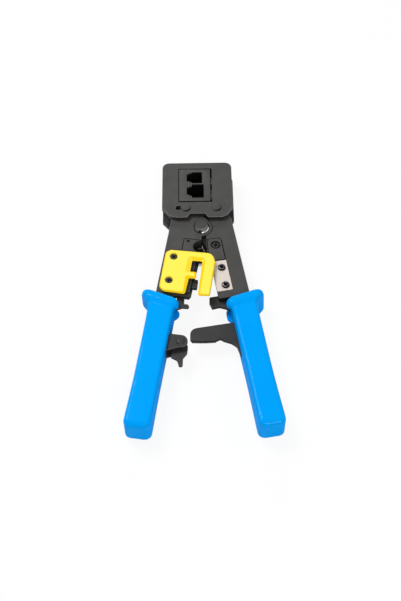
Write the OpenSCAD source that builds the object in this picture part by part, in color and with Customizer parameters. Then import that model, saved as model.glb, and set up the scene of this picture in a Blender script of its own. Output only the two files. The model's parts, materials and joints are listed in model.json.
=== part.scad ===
// Crimping tool for modular plugs. X is across the tool, +Y points to the head and Z is up.
// The pivot bolt's axis is X = 0, Y = 0, and the tool lies on Z = 0.

/* [Head] */
// Width of the head plates
head_w = 46.9; // [44:0.1:56]
// Height of the head plates above the pivot axis
head_top = 54; // [54:0.5:64]
// Thickness of the front and rear head plates
head_plate_t = 3; // [2.4:0.1:3.8]
// Sideways shift of the head's middle from the pivot bolt
head_shift = -2.45; // [-2.6:0.05:-2.3]
// Thickness of the head's side and top walls
head_wall = 3.5; // [3:0.1:4]
// How far the rear plate stands out on the right
rear_lip = 1.1; // [0:0.1:1.5]
// Width of the die block across the tool
die_w = 21.2; // [20:0.1:22]
// Length of the die block along the tool
die_l = 28.4; // [28:0.1:29]
// Gap round the die block in the front window
die_gap = 0.4; // [0.2:0.05:0.6]
// Width of the eight-way plug opening
plug8_w = 11.9; // [11.5:0.1:12.2]
// Height of the eight-way plug opening
plug8_h = 7.9; // [7:0.1:8.4]
// Width of the six-way plug opening
plug6_w = 9.9; // [9.4:0.1:10.4]
// Height of the six-way plug opening
plug6_h = 6.9; // [6.5:0.1:7.6]
// Width of the slot for a plug's latch
latch_w = 6.4; // [6:0.1:7]
// Depth of the slot for a plug's latch
latch_d = 3.5; // [3:0.1:4]
// How far a contact tooth stands back from its opening at rest
tooth_back = 1.5; // [1:0.1:2]

/* [Linkage] */
// Half the distance between the two head pins
pin_half = 10.15; // [9.6:0.05:10.4]
// Height of the head pins above the pivot axis
pin_h = 14.3; // [14:0.05:14.5]
// Radius of the head pins inside the levers
pin_r = 3; // [2.4:0.1:3.1]
// Radius of the sliding pin in the head's slots
slot_pin_r = 1.8; // [1.5:0.05:1.9]
// Radius of the pins' outer heads
pin_head_r = 3.5; // [3.3:0.1:3.7]
// Angle that each handle turns in closing
close_angle = 6.6; // [6:0.1:6.8]
// Thickness of the ram's plate
ram_t = 2.5; // [2:0.1:3]
// Radius of the pivot bolt's shank
bolt_r = 3; // [2.5:0.1:3.2]
// Radius of the pivot bolt's flange
flange_r = 5.15; // [4.8:0.05:5.3]
// Height of the bolt's hexagon
hex_h = 2.6; // [2:0.1:3.2]

/* [Levers] */
// Angle of each handle from the tool's middle line, at rest
lever_tilt = 9.2; // [9:0.1:9.6]
// Distance of a lever's outer edge from its own middle line
lever_edge = 20.65; // [20.2:0.05:21]
// Thickness of one layer of a lever
plate_t = 1.8; // [1.5:0.1:2]
// Radius of the levers' eyes on the head pins
pin_eye_r = 5.2; // [4.6:0.1:5.2]
// Radius of the left lever's eye on the pivot bolt
pivot_eye_r = 7.1; // [6.6:0.1:7.3]
// Distance from the pivot bolt to the end of a lever's broad part
blade_end = 57.9; // [57.5:0.1:58.5]
// Distance from the pivot to the lower end of the left lever's bare part
left_blade_end = 56.3; // [56:0.1:57]
// Distance from the pivot bolt to the end of the tang in a grip
tang_end = 138; // [120:1:144]
// Distance of the tang's inner edge from the lever's middle line
tang_inner = 9.5; // [9:0.1:11]
// Radius of the round hole for the opening spring
spring_hole_r = 4.2; // [4:0.1:4.4]
// Radius of the opening spring's wire
spring_wire_r = 0.4; // [0.3:0.05:0.5]
// Radius of the opening spring's coil, at its outside
spring_coil_r = 3.2; // [2.8:0.1:3.4]

/* [Cutter and guard] */
// Width of the cutter blade
cutter_w = 9.9; // [9:0.1:10.4]
// Length of the cutter blade
cutter_l = 23.3; // [22:0.1:24.8]
// Thickness of the cutter blade and of the plates beside it
cutter_t = 0.7; // [0.5:0.05:0.9]
// Radius of the cutter screws' heads
cutter_screw_r = 2.5; // [2.2:0.1:2.8]
// Width of the guard across the tool
guard_w = 32.6; // [31.8:0.1:33]
// Length of the guard along the lever
guard_l = 33; // [32.4:0.1:33.4]
// Thickness of the guard's bar
guard_t = 2.4; // [2:0.1:3]
// Room under the guard's bar for the blade's screws
guard_room = 1.5; // [1.5:0.1:1.8]
// Width of the guard's right bar
guard_bar_w = 8.3; // [7.5:0.1:8.6]
// Width of the guard's cable slot
guard_slot_w = 6.5; // [6:0.1:6.8]
// Radius of the guard screws' heads
guard_screw_r = 2.4; // [2:0.1:2.6]
// How far the anvil stands out beyond the lever's edge
anvil_out = 3.2; // [3:0.1:4.3]

/* [Ratchet] */
// Radius of the ratchet teeth about the pivot bolt
tooth_r = 86; // [86:0.1:86.2]
// Distance between two ratchet teeth
tooth_pitch = 1.25; // [1:0.05:1.6]
// Depth of a ratchet tooth
tooth_depth = 0.7; // [0.5:0.05:0.9]
// Number of ratchet teeth
tooth_count = 12; // [8:1:12]
// Distance from the pivot bolt to the pawl's pin
pawl_pin_y = 88.6; // [88.6:0.1:89]
// Radius of the pawl's pin
pawl_pin_r = 1.5; // [1.2:0.1:1.8]
// Thickness of the pawl
pawl_t = 2.4; // [2:0.1:2.8]
// Thickness of one ear of the pawl's bracket
ear_t = 1.6; // [1.2:0.1:1.8]

/* [Grips] */
// Thickness of a grip's collar
collar_t = 18.8; // [18.8:0.1:20]
// Thickness of a grip in the middle of its length
grip_t = 17.6; // [16:0.1:18]
// Distance from the pivot bolt to the end of the grips
grip_end = 151.5; // [146:0.5:162]
// Width of a grip
grip_w = 15.9; // [15.4:0.1:17]
// How far the collar stands out beyond the grip's outer edge
collar_out = 5.3; // [3:0.1:7]

/* [Fits] */
// Running gap round a pin, on the radius
pin_fit = 0.06; // [0.03:0.01:0.09]
// Running gap round the sliding pin in the ram, on the radius
ram_fit = 0.09; // [0.08:0.01:0.1]
// Gap between two layers that slide past each other
layer_gap = 0.25; // [0.2:0.05:0.3]
// Gap round a screw or rivet that is fixed in its hole
hold_fit = 0.02; // [0.01:0.01:0.04]
// Gap between pieces that pass each other in plan
side_gap = 0.35; // [0.3:0.05:0.5]

/* [Hidden] */
$fn = 48;
cut = 1;                                  // how far a cutting body runs past a face
corner_steps = 6;                         // straight steps in a rounded corner of an outline
z_mid = collar_t / 2;                     // the tool's middle plane, above the surface that it lies on

// Layers, as heights above the middle plane. The rear half mirrors the front half.
right_in = ram_t / 2 + layer_gap;
right_lap = right_in + plate_t;
left_in = right_lap + layer_gap;
lever_top = left_in + plate_t;
head_in = lever_top + layer_gap;
head_out = head_in + head_plate_t;
cover_top = lever_top + cutter_t;
guard_low = cover_top + guard_room;
guard_under = guard_low + 1.1;
guard_top = guard_low + guard_t;
pin_top = head_out + 0.65;
pin_washer_gap = 0.1;
flange_low = lever_top + 0.05;
flange_top = flange_low + 0.9;

// The head's places
head_left = head_shift - head_w / 2;
head_right = head_shift + head_w / 2;
head_low = 14;                            // where the straight sides end
lobe_low = 6;                             // bottom of the two lobes beside the bolt
notch_top = 9.2;
corner_r = 4.5;
die_left = -14.6;
die_right = die_left + die_w;
die_low = 19.9;
die_top = die_low + die_l;
die_out = head_out - 0.3;
die_in = -(head_in - 1.2);                // leaves room for the trim blade behind the die
plug_left = -5.95;                        // latch side of both openings
plug8_y = 28.9;
plug6_y = 40.8;
ram_stroke = 2 * (pin_half * cos(close_angle) + pin_h * sin(close_angle) - pin_half);

// The ram's places
ram_low = 9.2;
ram_high = die_low - 0.6;
holder_left = die_right + ram_stroke + side_gap;
holder_right = head_right - head_wall - side_gap;
holder_low = 21.3;
holder_high = head_top - head_wall - 2;
blade_near = 0.75;                        // how far the trim blade's edge stands back from the opening
contact_pitch = 1.02;
contact_t = 0.5;

// Places on the levers
left_pin = [-pin_half, pin_h];
right_pin = [pin_half, pin_h];
spring_at = [-1, -16.5];
cover_head = 10.9;                        // start of the plates on the levers, below the pivot
cutter_start = 29.6;
cutter_edge_x = 0.8;
cutter_screw_y = [35.3, 49.1];
cutter_screw_x = 6.8;
guard_start = 24;
guard_left = -19.15;
guard_screw_x = -13.4;
guard_screw_y = [29.5, 48.1];
guard_arch = 6.5;                         // length of the bar across the top of the slot
grip_in = 7.2;                            // distance of a grip's inner edge from the lever's middle line
grip_start = 57;
sleeve_gap = 0.1;
pawl_pin_x = 0.34;
ear_r = 4.4;
ear_out = 4.8;

// Screws, windows and openings of the head
head_screw_at = [[head_left + 2.6, head_top - 2.6], [head_right - 2.6, head_top - 2.6],
    [head_left + 2.4, die_low + 4], [head_right - 1.9, die_low + 5]];
head_screw_r = 1.7;
head_screw_shank = 0.9;
head_screw_l = head_plate_t + 6;
die_screw_at = [for (y = [die_low + 6, die_top - 6]) [die_left + 1.9, y]];
rear_window = [[die_left + 4.1, die_low + 1.6], [die_right + 0.4, die_top - 0.9]];
punch8_w = 8 * contact_pitch;
punch6_w = 6 * contact_pitch;
contact_z = [-3.4, 1.2];
relief_z = [2.6, 4.4];

// Pins and screws of the ram
holder_pin_r = 1.2;
holder_in = -(head_in - 1);
holder_out = head_in - 0.4;
holder_pin_at = [for (y = [holder_low + 3, holder_high - 3]) [(holder_left + holder_right) / 2 + 0.6, y]];
trim_screw_shank = 0.8;
trim_screw_at = [for (y = [plug8_y - 2, plug6_y + 1]) [(holder_left + holder_right) / 2, y]];
trim_low = holder_in - 0.8;

// Rivets, screws and edges of the levers
hex_r = 4;
right_pin_local = turned(right_pin, -lever_tilt);
left_pin_local = turned(left_pin, lever_tilt);
rivet_r = 1.6;
right_rivet_at = [[14.5, -80], [14.5, -92], [14.5, -125]];
left_rivet_at = [[-15, -66], [-15, -110], [-15, -130]];
backing_screw = [6.4, -16.5];
backing_screw_r = 2.5;
cutter_shank = 1.4;
backing_edge = cutter_edge_x + cutter_w;
guard_shank = 1.3;
guard_right = guard_left + guard_w;
guard_end = guard_start + guard_l;
eye_side = 20;                            // angle at which a lever's shoulder meets its eye on the head pin

// Ratchet, pawl and opening spring
arm_top = 74.6;
teeth_from = 3.9;                         // angle of the last tooth from the arm lever's middle line
pawl_at = [pawl_pin_x, -pawl_pin_y];
leg_l = 10;
leg_turn = [222, -42];                    // directions of the left and right legs
peg_r = 1.5;
leg_start = spring_coil_r - 1.3 * spring_wire_r;
peg_along = 7.5;

function unit(v) = v / norm(v);
function turned(p, a) = [p.x * cos(a) - p.y * sin(a), p.x * sin(a) + p.y * cos(a)];
function corner_arc(a, p, b, r) =
    let (
        u = unit(a - p),
        v = unit(b - p),
        half = acos(u * v) / 2,
        c = p + unit(u + v) * r / sin(half),
        s = p + u * r / tan(half) - c,
        e = p + v * r / tan(half) - c,
        from = atan2(s.y, s.x),
        turn = atan2(e.y, e.x) - from,
        sweep = turn > 180 ? turn - 360 : turn < -180 ? turn + 360 : turn
    )
    [for (i = [0 : corner_steps]) c + r * [cos(from + sweep * i / corner_steps),
        sin(from + sweep * i / corner_steps)]];

// An outline whose points are [x, y, corner radius].
function outline(pts) =
    let (n = len(pts), flat = [for (p = pts) [p.x, p.y]])
    [for (i = [0 : n - 1]) each pts[i][2] == 0 ? [flat[i]]
        : corner_arc(flat[(i + n - 1) % n], flat[i], flat[(i + 1) % n], pts[i][2])];

module plan(pts) polygon(outline(pts));

// Carries a flat shape to the layer between two heights above the middle plane.
module layer(low, high) translate([0, 0, z_mid + low]) linear_extrude(high - low) children();

module on_left() rotate(-lever_tilt) children();
module on_right() rotate(lever_tilt) children();
module flipped() translate([0, 0, 2 * z_mid]) mirror([0, 0, 1]) children();

// Points on a circle between two angles, for use in an outline.
function arc_points(c, r, from, to) =
    let (n = 3 * corner_steps)
    [for (i = [0 : n]) [c.x + r * cos(from + (to - from) * i / n),
        c.y + r * sin(from + (to - from) * i / n), 0]];

// Angle at which the straight side touches both circles, on the left of the way from p to q.
function touch_angle(p, q, rp, rq) = atan2(q.y - p.y, q.x - p.x) + acos((rp - rq) / norm(q - p));

module slot2d(p, q, r) {
    a = atan2(q.y - p.y, q.x - p.x);
    plan(concat(arc_points(p, r, a + 90, a + 270), arc_points(q, r, a - 90, a + 90)));
}

module cross_recess(r, depth) {
    for (a = [0, 90]) rotate(a) translate([-r, -r / 5, -depth]) cube([2 * r, r * 2 / 5, depth + cut]);
}

// A screw whose flat-topped sunk head has its face at Z = 0.
module sunk_screw(head_r, shank_r, length) {
    difference() {
        rotate_extrude()
            polygon([[0, 0], [head_r, 0], [head_r, -0.3], [shank_r, -0.3 - head_r + shank_r],
                [shank_r, -length],
                [0, -length]]);
        cross_recess(head_r * 0.6, 0.8);
    }
}

module sunk_hole(head_r, shank_r, length) {
    translate([0, 0, -0.3 - head_r + shank_r]) cylinder(h = head_r - shank_r, r1 = shank_r + hold_fit,
        r2 = head_r + hold_fit);
    translate([0, 0, -0.3]) cylinder(h = 0.3 + cut, r = head_r + hold_fit);
    translate([0, 0, -length]) cylinder(h = length, r = shank_r + hold_fit);
}

// A low round-headed screw whose head stands on Z = 0.
module pan_screw(head_r, head_h, shank_r, length) {
    difference() {
        rotate_extrude()
            polygon([[0, head_h], [head_r * 0.72, head_h], [head_r, head_h * 0.45], [head_r, 0], [shank_r, 0],
                [shank_r, -length], [0, -length]]);
        translate([0, 0, head_h]) cross_recess(head_r * 0.6, head_h * 0.6);
    }
}

// ---- Head ----

module head_outline(extra) {
    plan([
        [head_left, head_top, corner_r], [head_left, head_low, 1], [head_left + 5.3, lobe_low + 1.5, 2],
        [-16.5, lobe_low, 1.5], [-9.2, lobe_low, 1.5], [-7.3, notch_top, 1], [2.6, notch_top, 1],
            [4.6, lobe_low, 1.5],
        [14, lobe_low, 1.5], [head_right - 4.5 + extra, lobe_low + 1.5, 2],
            [head_right + extra, head_low + 0.8, 1],
        [head_right + extra, head_top, corner_r]
    ]);
}

module pin_slot() {
    slot2d(left_pin - [ram_stroke + 1.9, 0], left_pin + [0.3, 0], slot_pin_r + pin_fit);
}

module at_rear_screws(places) {
    for (p = places) translate([p.x, p.y, z_mid - head_out]) mirror([0, 0, 1]) children();
}

module head_walls() {
    difference() {
        intersection() {
            head_outline(0);
            translate([head_left - cut, die_low + 1.1]) square([head_w + 2 * cut, head_top]);
        }
        polygon(outline([[head_left + head_wall, 0, 0], [head_left + head_wall, head_top - head_wall, 2],
            [head_right - head_wall, head_top - head_wall, 2], [head_right - head_wall, 0, 0]]));
    }
}

module head_body() {
    color("#3a3c40") difference() {
        union() {
            layer(head_in, head_out) difference() {
                head_outline(0);
                translate([die_left - die_gap, die_low - die_gap * 2])
                    square([die_w + 3 * die_gap, die_l + 3 * die_gap]);
                translate(right_pin) circle(pin_r + hold_fit);
                pin_slot();
            }
            layer(-head_in, head_in) head_walls();
        }
        at_rear_screws(head_screw_at) sunk_hole(head_screw_r, head_screw_shank, head_screw_l);
    }
}

module head_rear_plate() {
    color("#3a3c40") difference() {
        layer(-head_out, -head_in) difference() {
            head_outline(rear_lip);
            translate(rear_window[0]) square(rear_window[1] - rear_window[0]);
            translate(right_pin) circle(pin_r + hold_fit);
            pin_slot();
        }
        at_rear_screws(head_screw_at) sunk_hole(head_screw_r, head_screw_shank, head_screw_l);
        at_rear_screws(die_screw_at) sunk_hole(head_screw_r, head_screw_shank, head_screw_l);
    }
}

module head_screws() {
    color("#26282b") at_rear_screws(head_screw_at) sunk_screw(head_screw_r, head_screw_shank,
        head_screw_l - 0.5);
}

module die_screws() {
    color("#26282b") at_rear_screws(die_screw_at) sunk_screw(head_screw_r, head_screw_shank,
        head_screw_l - 0.5);
}

// The outline of a plug's opening, with the stepped slot for its latch on the left.
module plug_opening(y, w, h) {
    translate([plug_left, y - w / 2]) square([h, w]);
    translate([plug_left - latch_d / 2, y - latch_w / 2 - 0.9]) square([latch_d, latch_w + 1.8]);
    translate([plug_left - latch_d, y - latch_w / 2]) square([latch_d + cut, latch_w]);
}

module punch_channel(y, w) {
    translate([0, y - w / 2 - 0.2]) square([die_right, w + 0.4]);
}

module die_block() {
    color("#2a2c2f") difference() {
        union() {
            layer(die_in, die_out) translate([die_left, die_low]) square([die_w, die_l]);
            layer(die_in, head_in) translate([die_left - 1.6, die_low]) square([die_w + 1.6, die_l + 1.4]);
            layer(-head_in, die_in) translate([die_left - 1.6, die_low]) square([5, die_l + 1.4]);
        }
        layer(-head_out, head_out + cut) plug_opening(plug8_y, plug8_w, plug8_h);
        layer(-head_out, head_out + cut) plug_opening(plug6_y, plug6_w, plug6_h);
        for (z = [contact_z, relief_z]) {
            layer(z[0] - 0.2, z[1] + 0.2) punch_channel(plug8_y, punch8_w);
            layer(z[0] - 0.2, z[1] + 0.2) punch_channel(plug6_y, punch6_w);
        }
        at_rear_screws(die_screw_at) sunk_hole(head_screw_r, head_screw_shank, head_screw_l);
    }
}

module domed_head(r) {
    h = pin_top - head_out;
    rotate_extrude() polygon([[0, 0], [r, 0], [r, h * 0.4], [r * 0.8, h * 0.85], [r * 0.45, h], [0, h]]);
}

module right_head_pin() {
    color("#303236") translate([right_pin.x, right_pin.y, z_mid]) {
        translate([0, 0, -head_out]) cylinder(h = 2 * head_out, r = pin_r);
        translate([0, 0, head_out]) domed_head(pin_head_r);
        translate([0, 0, -head_out]) mirror([0, 0, 1]) domed_head(pin_head_r);
    }
}

// ---- Ram and punches ----

module ram_plate() {
    color("#55585c") layer(-ram_t / 2, ram_t / 2) difference() {
        union() {
            plan([[left_pin.x - 5.2, ram_low, 2], [holder_right, ram_low, 2], [holder_right, holder_high, 1],
                [holder_left + 0.8, holder_high, 0.5], [holder_left + 0.8, ram_high, 0.5],
                    [left_pin.x - 5.2, ram_high, 2]]);
        }
        translate(left_pin) circle(pin_r + ram_fit);
        slot2d(right_pin - [0.3, 0], right_pin + [ram_stroke + 0.3, 0], pin_r + ram_fit);
        for (p = holder_pin_at) translate(p) circle(holder_pin_r + hold_fit);
    }
}

module punch_holder() {
    color("#4a4d51") difference() {
        layer(holder_in, holder_out) translate([holder_left, holder_low])
            square([holder_right - holder_left, holder_high - holder_low]);
        layer(-ram_t / 2, ram_t / 2) translate([holder_left + 0.8, holder_low - cut])
            square([holder_right, holder_high]);
        for (p = holder_pin_at) translate([p.x, p.y, z_mid - head_out])
            cylinder(h = 2 * head_out, r = holder_pin_r + hold_fit);
        for (p = trim_screw_at) translate([p.x, p.y, z_mid + holder_in - cut])
            cylinder(h = 3.2 + cut, r = trim_screw_shank + hold_fit);
    }
}

module holder_pins() {
    color("#8b8e92") for (p = holder_pin_at)
        translate([p.x, p.y, z_mid + holder_in + 0.1]) cylinder(h = holder_out - holder_in - 0.2,
            r = holder_pin_r);
}

// A comb of contact teeth on a solid back, reaching left from the holder.
module contact_punch(y, ways, opening_h) {
    tip = plug_left + opening_h + tooth_back;
    w = ways * contact_pitch;
    root = tip + 2.2;
    layer(contact_z[0], contact_z[1]) {
        translate([root, y - w / 2]) square([holder_left - root, w]);
        for (i = [0 : ways - 1]) translate([tip, y + (i - (ways - 1) / 2) * contact_pitch - contact_t / 2])
            square([root - tip + 0.1, contact_t]);
    }
}

module contact_punch_8p() {
    color("#9a9da1") contact_punch(plug8_y, 8, plug8_h);
}

module contact_punch_6p() {
    color("#9a9da1") contact_punch(plug6_y, 6, plug6_h);
}

module relief_punches() {
    color("#9a9da1") for (p = [[plug8_y, punch8_w, plug8_h], [plug6_y, punch6_w, plug6_h]]) {
        tip = plug_left + p[2] + tooth_back;
        layer(relief_z[0], relief_z[1]) translate([tip, p[0] - p[1] / 2]) square([holder_left - tip, p[1]]);
    }
}

module trim_blade() {
    color("#b9bcc0") difference() {
        layer(trim_low, holder_in) {
            left = plug_left + plug8_h + blade_near;
            plan([[left, plug8_y - 6.2, 0], [holder_right - 0.3, plug8_y - 6.2, 1],
                [holder_right - 0.3, plug6_y + 5.6, 1],
                [left, plug6_y + 5.6, 0]]);
        }
        for (p = trim_screw_at) translate([p.x, p.y, z_mid + trim_low - cut])
            cylinder(h = 3, r = trim_screw_shank + hold_fit);
    }
}

module trim_blade_screws() {
    color("#26282b") for (p = trim_screw_at) translate([p.x, p.y, z_mid + trim_low])
        cylinder(h = 3.6, r = trim_screw_shank);
}

// ---- Right lever ----

module spring_hole() translate(spring_at) circle(spring_hole_r);

// The right lever's broad part and tang, in the lever's own frame. The inner edge is given by its points.
module right_lever_outline(inner) {
    plan(concat([[lever_edge, 4.9, 1.5]], inner, [
        [2, -28, 1], [2, -blade_end + 4.3, 0.5], [cutter_edge_x, -blade_end + 3.5, 0.4],
            [cutter_edge_x, -blade_end, 0.8],
        [tang_inner, -blade_end, 1.5], [tang_inner, -tang_end, 2], [lever_edge, -tang_end, 2]
    ]));
}

module right_lever_lower() {
    eye_r = pivot_eye_r - 1;
    a = touch_angle([0, 0], right_pin_local, eye_r, pin_eye_r);
    right_lever_outline(concat(arc_points(right_pin_local, pin_eye_r, eye_side, a),
        arc_points([0, 0], eye_r, a, 255),
        [[-0.45, -13, 0], [-0.5, -22, 2]]));
}

module right_lever_upper() {
    difference() {
        right_lever_outline(concat(arc_points(right_pin_local, pin_eye_r, eye_side, 190),
            [[6, 2, 0], [2.2, -5, 0], [0.9, -13, 0], [0, -22, 2]]));
        circle(pivot_eye_r + side_gap);
    }
}

module right_lever_plate() {
    difference() {
        on_right() {
            layer(right_in, right_lap) right_lever_lower();
            layer(right_lap, lever_top) right_lever_upper();
        }
        layer(0, head_out) {
            translate(right_pin) circle(pin_r + pin_fit);
            circle(bolt_r + hold_fit);
            spring_hole();
        }
        on_right() layer(0, head_out) for (p = right_rivet_at) translate(p) circle(rivet_r + hold_fit);
    }
}

module right_lever_front_plate() {
    color("#46484c") difference() {
        right_lever_plate();
        on_right() {
            for (y = cutter_screw_y) translate([cutter_screw_x, -y, z_mid + right_in - cut])
                cylinder(h = lever_top, r = cutter_shank + hold_fit);
            translate([backing_screw.x, backing_screw.y, z_mid + cover_top - 0.3])
                sunk_hole(backing_screw_r, cutter_shank, cover_top - right_in);
        }
    }
}

module right_lever_rear_plate() {
    color("#46484c") flipped() right_lever_plate();
}

module pivot_bolt() {
    color("#303236") {
        cylinder(h = z_mid + flange_low, r = bolt_r);
        translate([0, 0, z_mid + flange_low]) cylinder(h = flange_top - flange_low, r = flange_r);
        translate([0, 0, z_mid + flange_top]) cylinder(h = hex_h, r = hex_r, $fn = 6);
    }
}

module pivot_nut() {
    color("#303236") difference() {
        union() {
            translate([0, 0, z_mid - flange_top]) cylinder(h = flange_top - flange_low, r = flange_r);
            cylinder(h = z_mid - flange_top, r = hex_r + 0.4, $fn = 6);
        }
        translate([0, 0, -cut]) cylinder(h = z_mid, r = bolt_r + hold_fit);
    }
}

module pivot_bush() {
    color("#77797d") layer(-right_in, right_in) difference() {
        circle(pivot_eye_r - 2.1);
        circle(bolt_r + hold_fit);
    }
}

module blade_backing_plate() {
    color("#46484c") difference() {
        on_right() layer(lever_top, cover_top) plan([[backing_edge + 0.3, -cover_head, 2.5],
            [backing_edge + 0.15, -cutter_start + side_gap, 0.3], [2.6, -cutter_start + side_gap, 0.3],
                [0.4, -22, 1],
            [1.3, -13, 0.3], [1.5, -cover_head, 0.3]]);
        layer(lever_top - cut, cover_top + cut) spring_hole();
        on_right() translate([backing_screw.x, backing_screw.y, z_mid + lever_top - cut])
            cylinder(h = cutter_t + 2 * cut, r = backing_screw_r + 0.15);
    }
}

module backing_plate_screw() {
    color("#1e1f21") on_right() translate([backing_screw.x, backing_screw.y, z_mid + cover_top - 0.3])
        sunk_screw(backing_screw_r, cutter_shank, cover_top - right_in - 0.4);
}

module cutter_blade() {
    edge = 1.2;
    color("#d6d0c8") on_right() difference() {
        layer(lever_top, cover_top)
            translate([cutter_edge_x, -cutter_start - cutter_l]) square([cutter_w, cutter_l]);
        translate([cutter_edge_x, -cutter_start - cutter_l - cut, z_mid + lever_top + 0.1])
            rotate([-90, 0, 0])
            linear_extrude(cutter_l + 2 * cut) polygon([[-cut, 0], [0, 0], [edge, -cutter_t],
                [-cut, -cutter_t]]);
        for (y = cutter_screw_y) translate([cutter_screw_x, -y, z_mid])
            cylinder(h = head_out, r = cutter_shank + hold_fit);
    }
}

module cutter_blade_screws() {
    color("#1e1f21") on_right() for (y = cutter_screw_y) translate([cutter_screw_x, -y, z_mid + cover_top])
        pan_screw(cutter_screw_r, guard_room - 0.25, cutter_shank, cover_top - right_in);
}

module right_stripper_block() {
    color("#2a2c2f") on_right() layer(-right_in, right_in) plan([[-4.3, -53.4, 0.8], [4.5, -53.4, 0.5],
        [grip_in - 0.2, -57, 0.6], [grip_in - 0.2, -64.6, 0.6], [4.4, -62.6, 1.5], [0.8, -60.8, 3],
        [-4, -61.3, 0.6], [-5, -56.9, 1]]);
}

module ratchet_arm() {
    root_x = 18.5;
    step = tooth_pitch / tooth_r * 180 / PI;
    teeth = [for (i = [tooth_count - 1 : -1 : 0]) each [
        [tooth_r * sin(teeth_from + (i + 0.6) * step), tooth_r * cos(teeth_from + (i + 0.6) * step)],
        [(tooth_r - tooth_depth) * sin(teeth_from + i * step),
            (tooth_r - tooth_depth) * cos(teeth_from + i * step)]
    ]];
    color("#2a2c2f") on_right() layer(-right_in, right_in) difference() {
        plan(concat([[root_x, -arm_top, 1], [-20.1, -arm_top, 4.8], [-21.3, -81.4, 1]],
            [for (t = teeth) [-t.x, -t.y, 0]], [
            [-3.1, -84.2, 0], [-0.8, -86.1, 0.2], [3.1, -88.3, 2], [5.9, -91.3, 3], [6.9, -98, 1],
                [root_x, -98, 1]
        ]));
        for (p = right_rivet_at) translate(p) circle(rivet_r + hold_fit);
    }
}

module right_lever_rivets() {
    color("#77797d") on_right() {
        layer(-lever_top, lever_top) for (p = right_rivet_at) translate(p) circle(rivet_r);
        layer(-right_in, right_in) translate(right_rivet_at[2]) circle(rivet_r * 2);
    }
}

// ---- Grips ----

module grip_profile(ahead) {
    half = collar_t / 2;
    waist = grip_t / 2;
    top = [[-grip_start + ahead - 0.5, half, 2.5], [-70, half, 6], [-79, waist, 12], [-118, waist, 0],
        [-grip_end + 7, half, 8],
        [-grip_end, half, 4]];
    plan(concat(top, [for (i = [len(top) - 1 : -1 : 0]) [top[i].x, -top[i].y, top[i][2]]]));
}

// ahead is how far the collar's outer front corner lies before the grip's start.
module grip_solid(ahead) {
    outer = grip_in + grip_w;
    intersection() {
        translate([0, 0, z_mid - collar_t]) linear_extrude(2 * collar_t) plan([
            [grip_in + 0.9, -grip_start - 2.4, 3.5], [outer + collar_out - 1.6, -grip_start + ahead, 4],
            [outer + collar_out, -grip_start - 9, 5], [outer, -76, 6], [outer - 0.5, -118, 0],
            [outer, -grip_end, 6], [grip_in, -grip_end, 5.5], [grip_in + 0.3, -118, 0],
            [grip_in, -75, 6], [grip_in - 2.8, -65.2, 3.5]
        ]);
        translate([0, 0, z_mid]) rotate([90, 0, 90]) linear_extrude(2 * lever_edge)
            grip_profile(ahead);
    }
}

module grip_cavity() {
    layer(-lever_top - sleeve_gap, lever_top + sleeve_gap)
        translate([tang_inner - sleeve_gap, -tang_end - 1])
            square([lever_edge - tang_inner + 2 * sleeve_gap, tang_end]);
}

// The gap in the collar's inner side that lets the wire stripper through.
module collar_notch() {
    layer(-lever_top - sleeve_gap, lever_top + sleeve_gap) translate([0, -73]) square([grip_in + 0.1, 18]);
}

module right_grip() {
    color("#00a0f0") on_right() difference() {
        grip_solid(1.2);
        grip_cavity();
        collar_notch();
        layer(-right_in - sleeve_gap, right_in + sleeve_gap) translate([0, -99])
            square([tang_inner + cut, 99 - arm_top + 1.2]);
    }
}

module left_grip() {
    slot_half = right_in + 0.7;
    web_half = ear_out + sleeve_gap;
    color("#00a0f0") on_left() mirror([1, 0, 0]) difference() {
        grip_solid(2.6);
        grip_cavity();
        collar_notch();
        layer(-slot_half, slot_half) translate([0, -88]) square([tang_inner + cut, 88 - arm_top + 2.2]);
        layer(-web_half, web_half) translate([0, -97.2 - sleeve_gap])
            square([tang_inner + cut, 13.2 + 2 * sleeve_gap]);
    }
}

// ---- Left lever ----

module left_lever_outline() {
    a = touch_angle(left_pin_local, [0, 0], pin_eye_r, pivot_eye_r);
    plan(concat([[-lever_edge, 4.9, 1.5]], arc_points(left_pin_local, pin_eye_r, 180 - eye_side, a),
        arc_points([0, 0], pivot_eye_r, a, -78), [
        [1.55, -13, 0], [1.55, -22, 2], [0.2, -left_blade_end, 0.8], [-tang_inner, -left_blade_end, 1.5],
        [-tang_inner, -tang_end, 2], [-lever_edge, -tang_end, 2]
    ]));
}

module left_lever_plate() {
    difference() {
        on_left() layer(left_in, lever_top) left_lever_outline();
        layer(0, head_out) {
            translate(left_pin) circle(pin_r + hold_fit);
            circle(bolt_r + pin_fit);
            spring_hole();
        }
        on_left() layer(0, head_out) for (p = left_rivet_at) translate(p) circle(rivet_r + hold_fit);
    }
}

module left_lever_front_plate() {
    color("#46484c") difference() {
        left_lever_plate();
        on_left() for (y = guard_screw_y) translate([guard_screw_x, -y, z_mid])
            cylinder(h = head_out, r = guard_shank + hold_fit);
    }
}

module left_lever_rear_plate() {
    color("#46484c") difference() {
        flipped() left_lever_plate();
        on_left() layer(-lever_top - cut, -left_in + cut) translate([-9, -60]) square([12, 10]);
    }
}

module left_slide_pin() {
    color("#303236") translate([left_pin.x, left_pin.y, z_mid]) {
        cylinder(h = 2 * (lever_top + 0.1), r = pin_r, center = true);
        cylinder(h = 2 * (head_out + pin_washer_gap), r = slot_pin_r, center = true);
        for (side = [0, 1]) mirror([0, 0, side]) translate([0, 0, head_out + pin_washer_gap])
            rotate_extrude() polygon([[0, 0], [pin_head_r, 0], [pin_head_r, 0.25], [pin_head_r * 0.8, 0.45],
                [pin_head_r * 0.45, pin_top - head_out - pin_washer_gap],
                    [0, pin_top - head_out - pin_washer_gap]]);
    }
}

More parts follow.
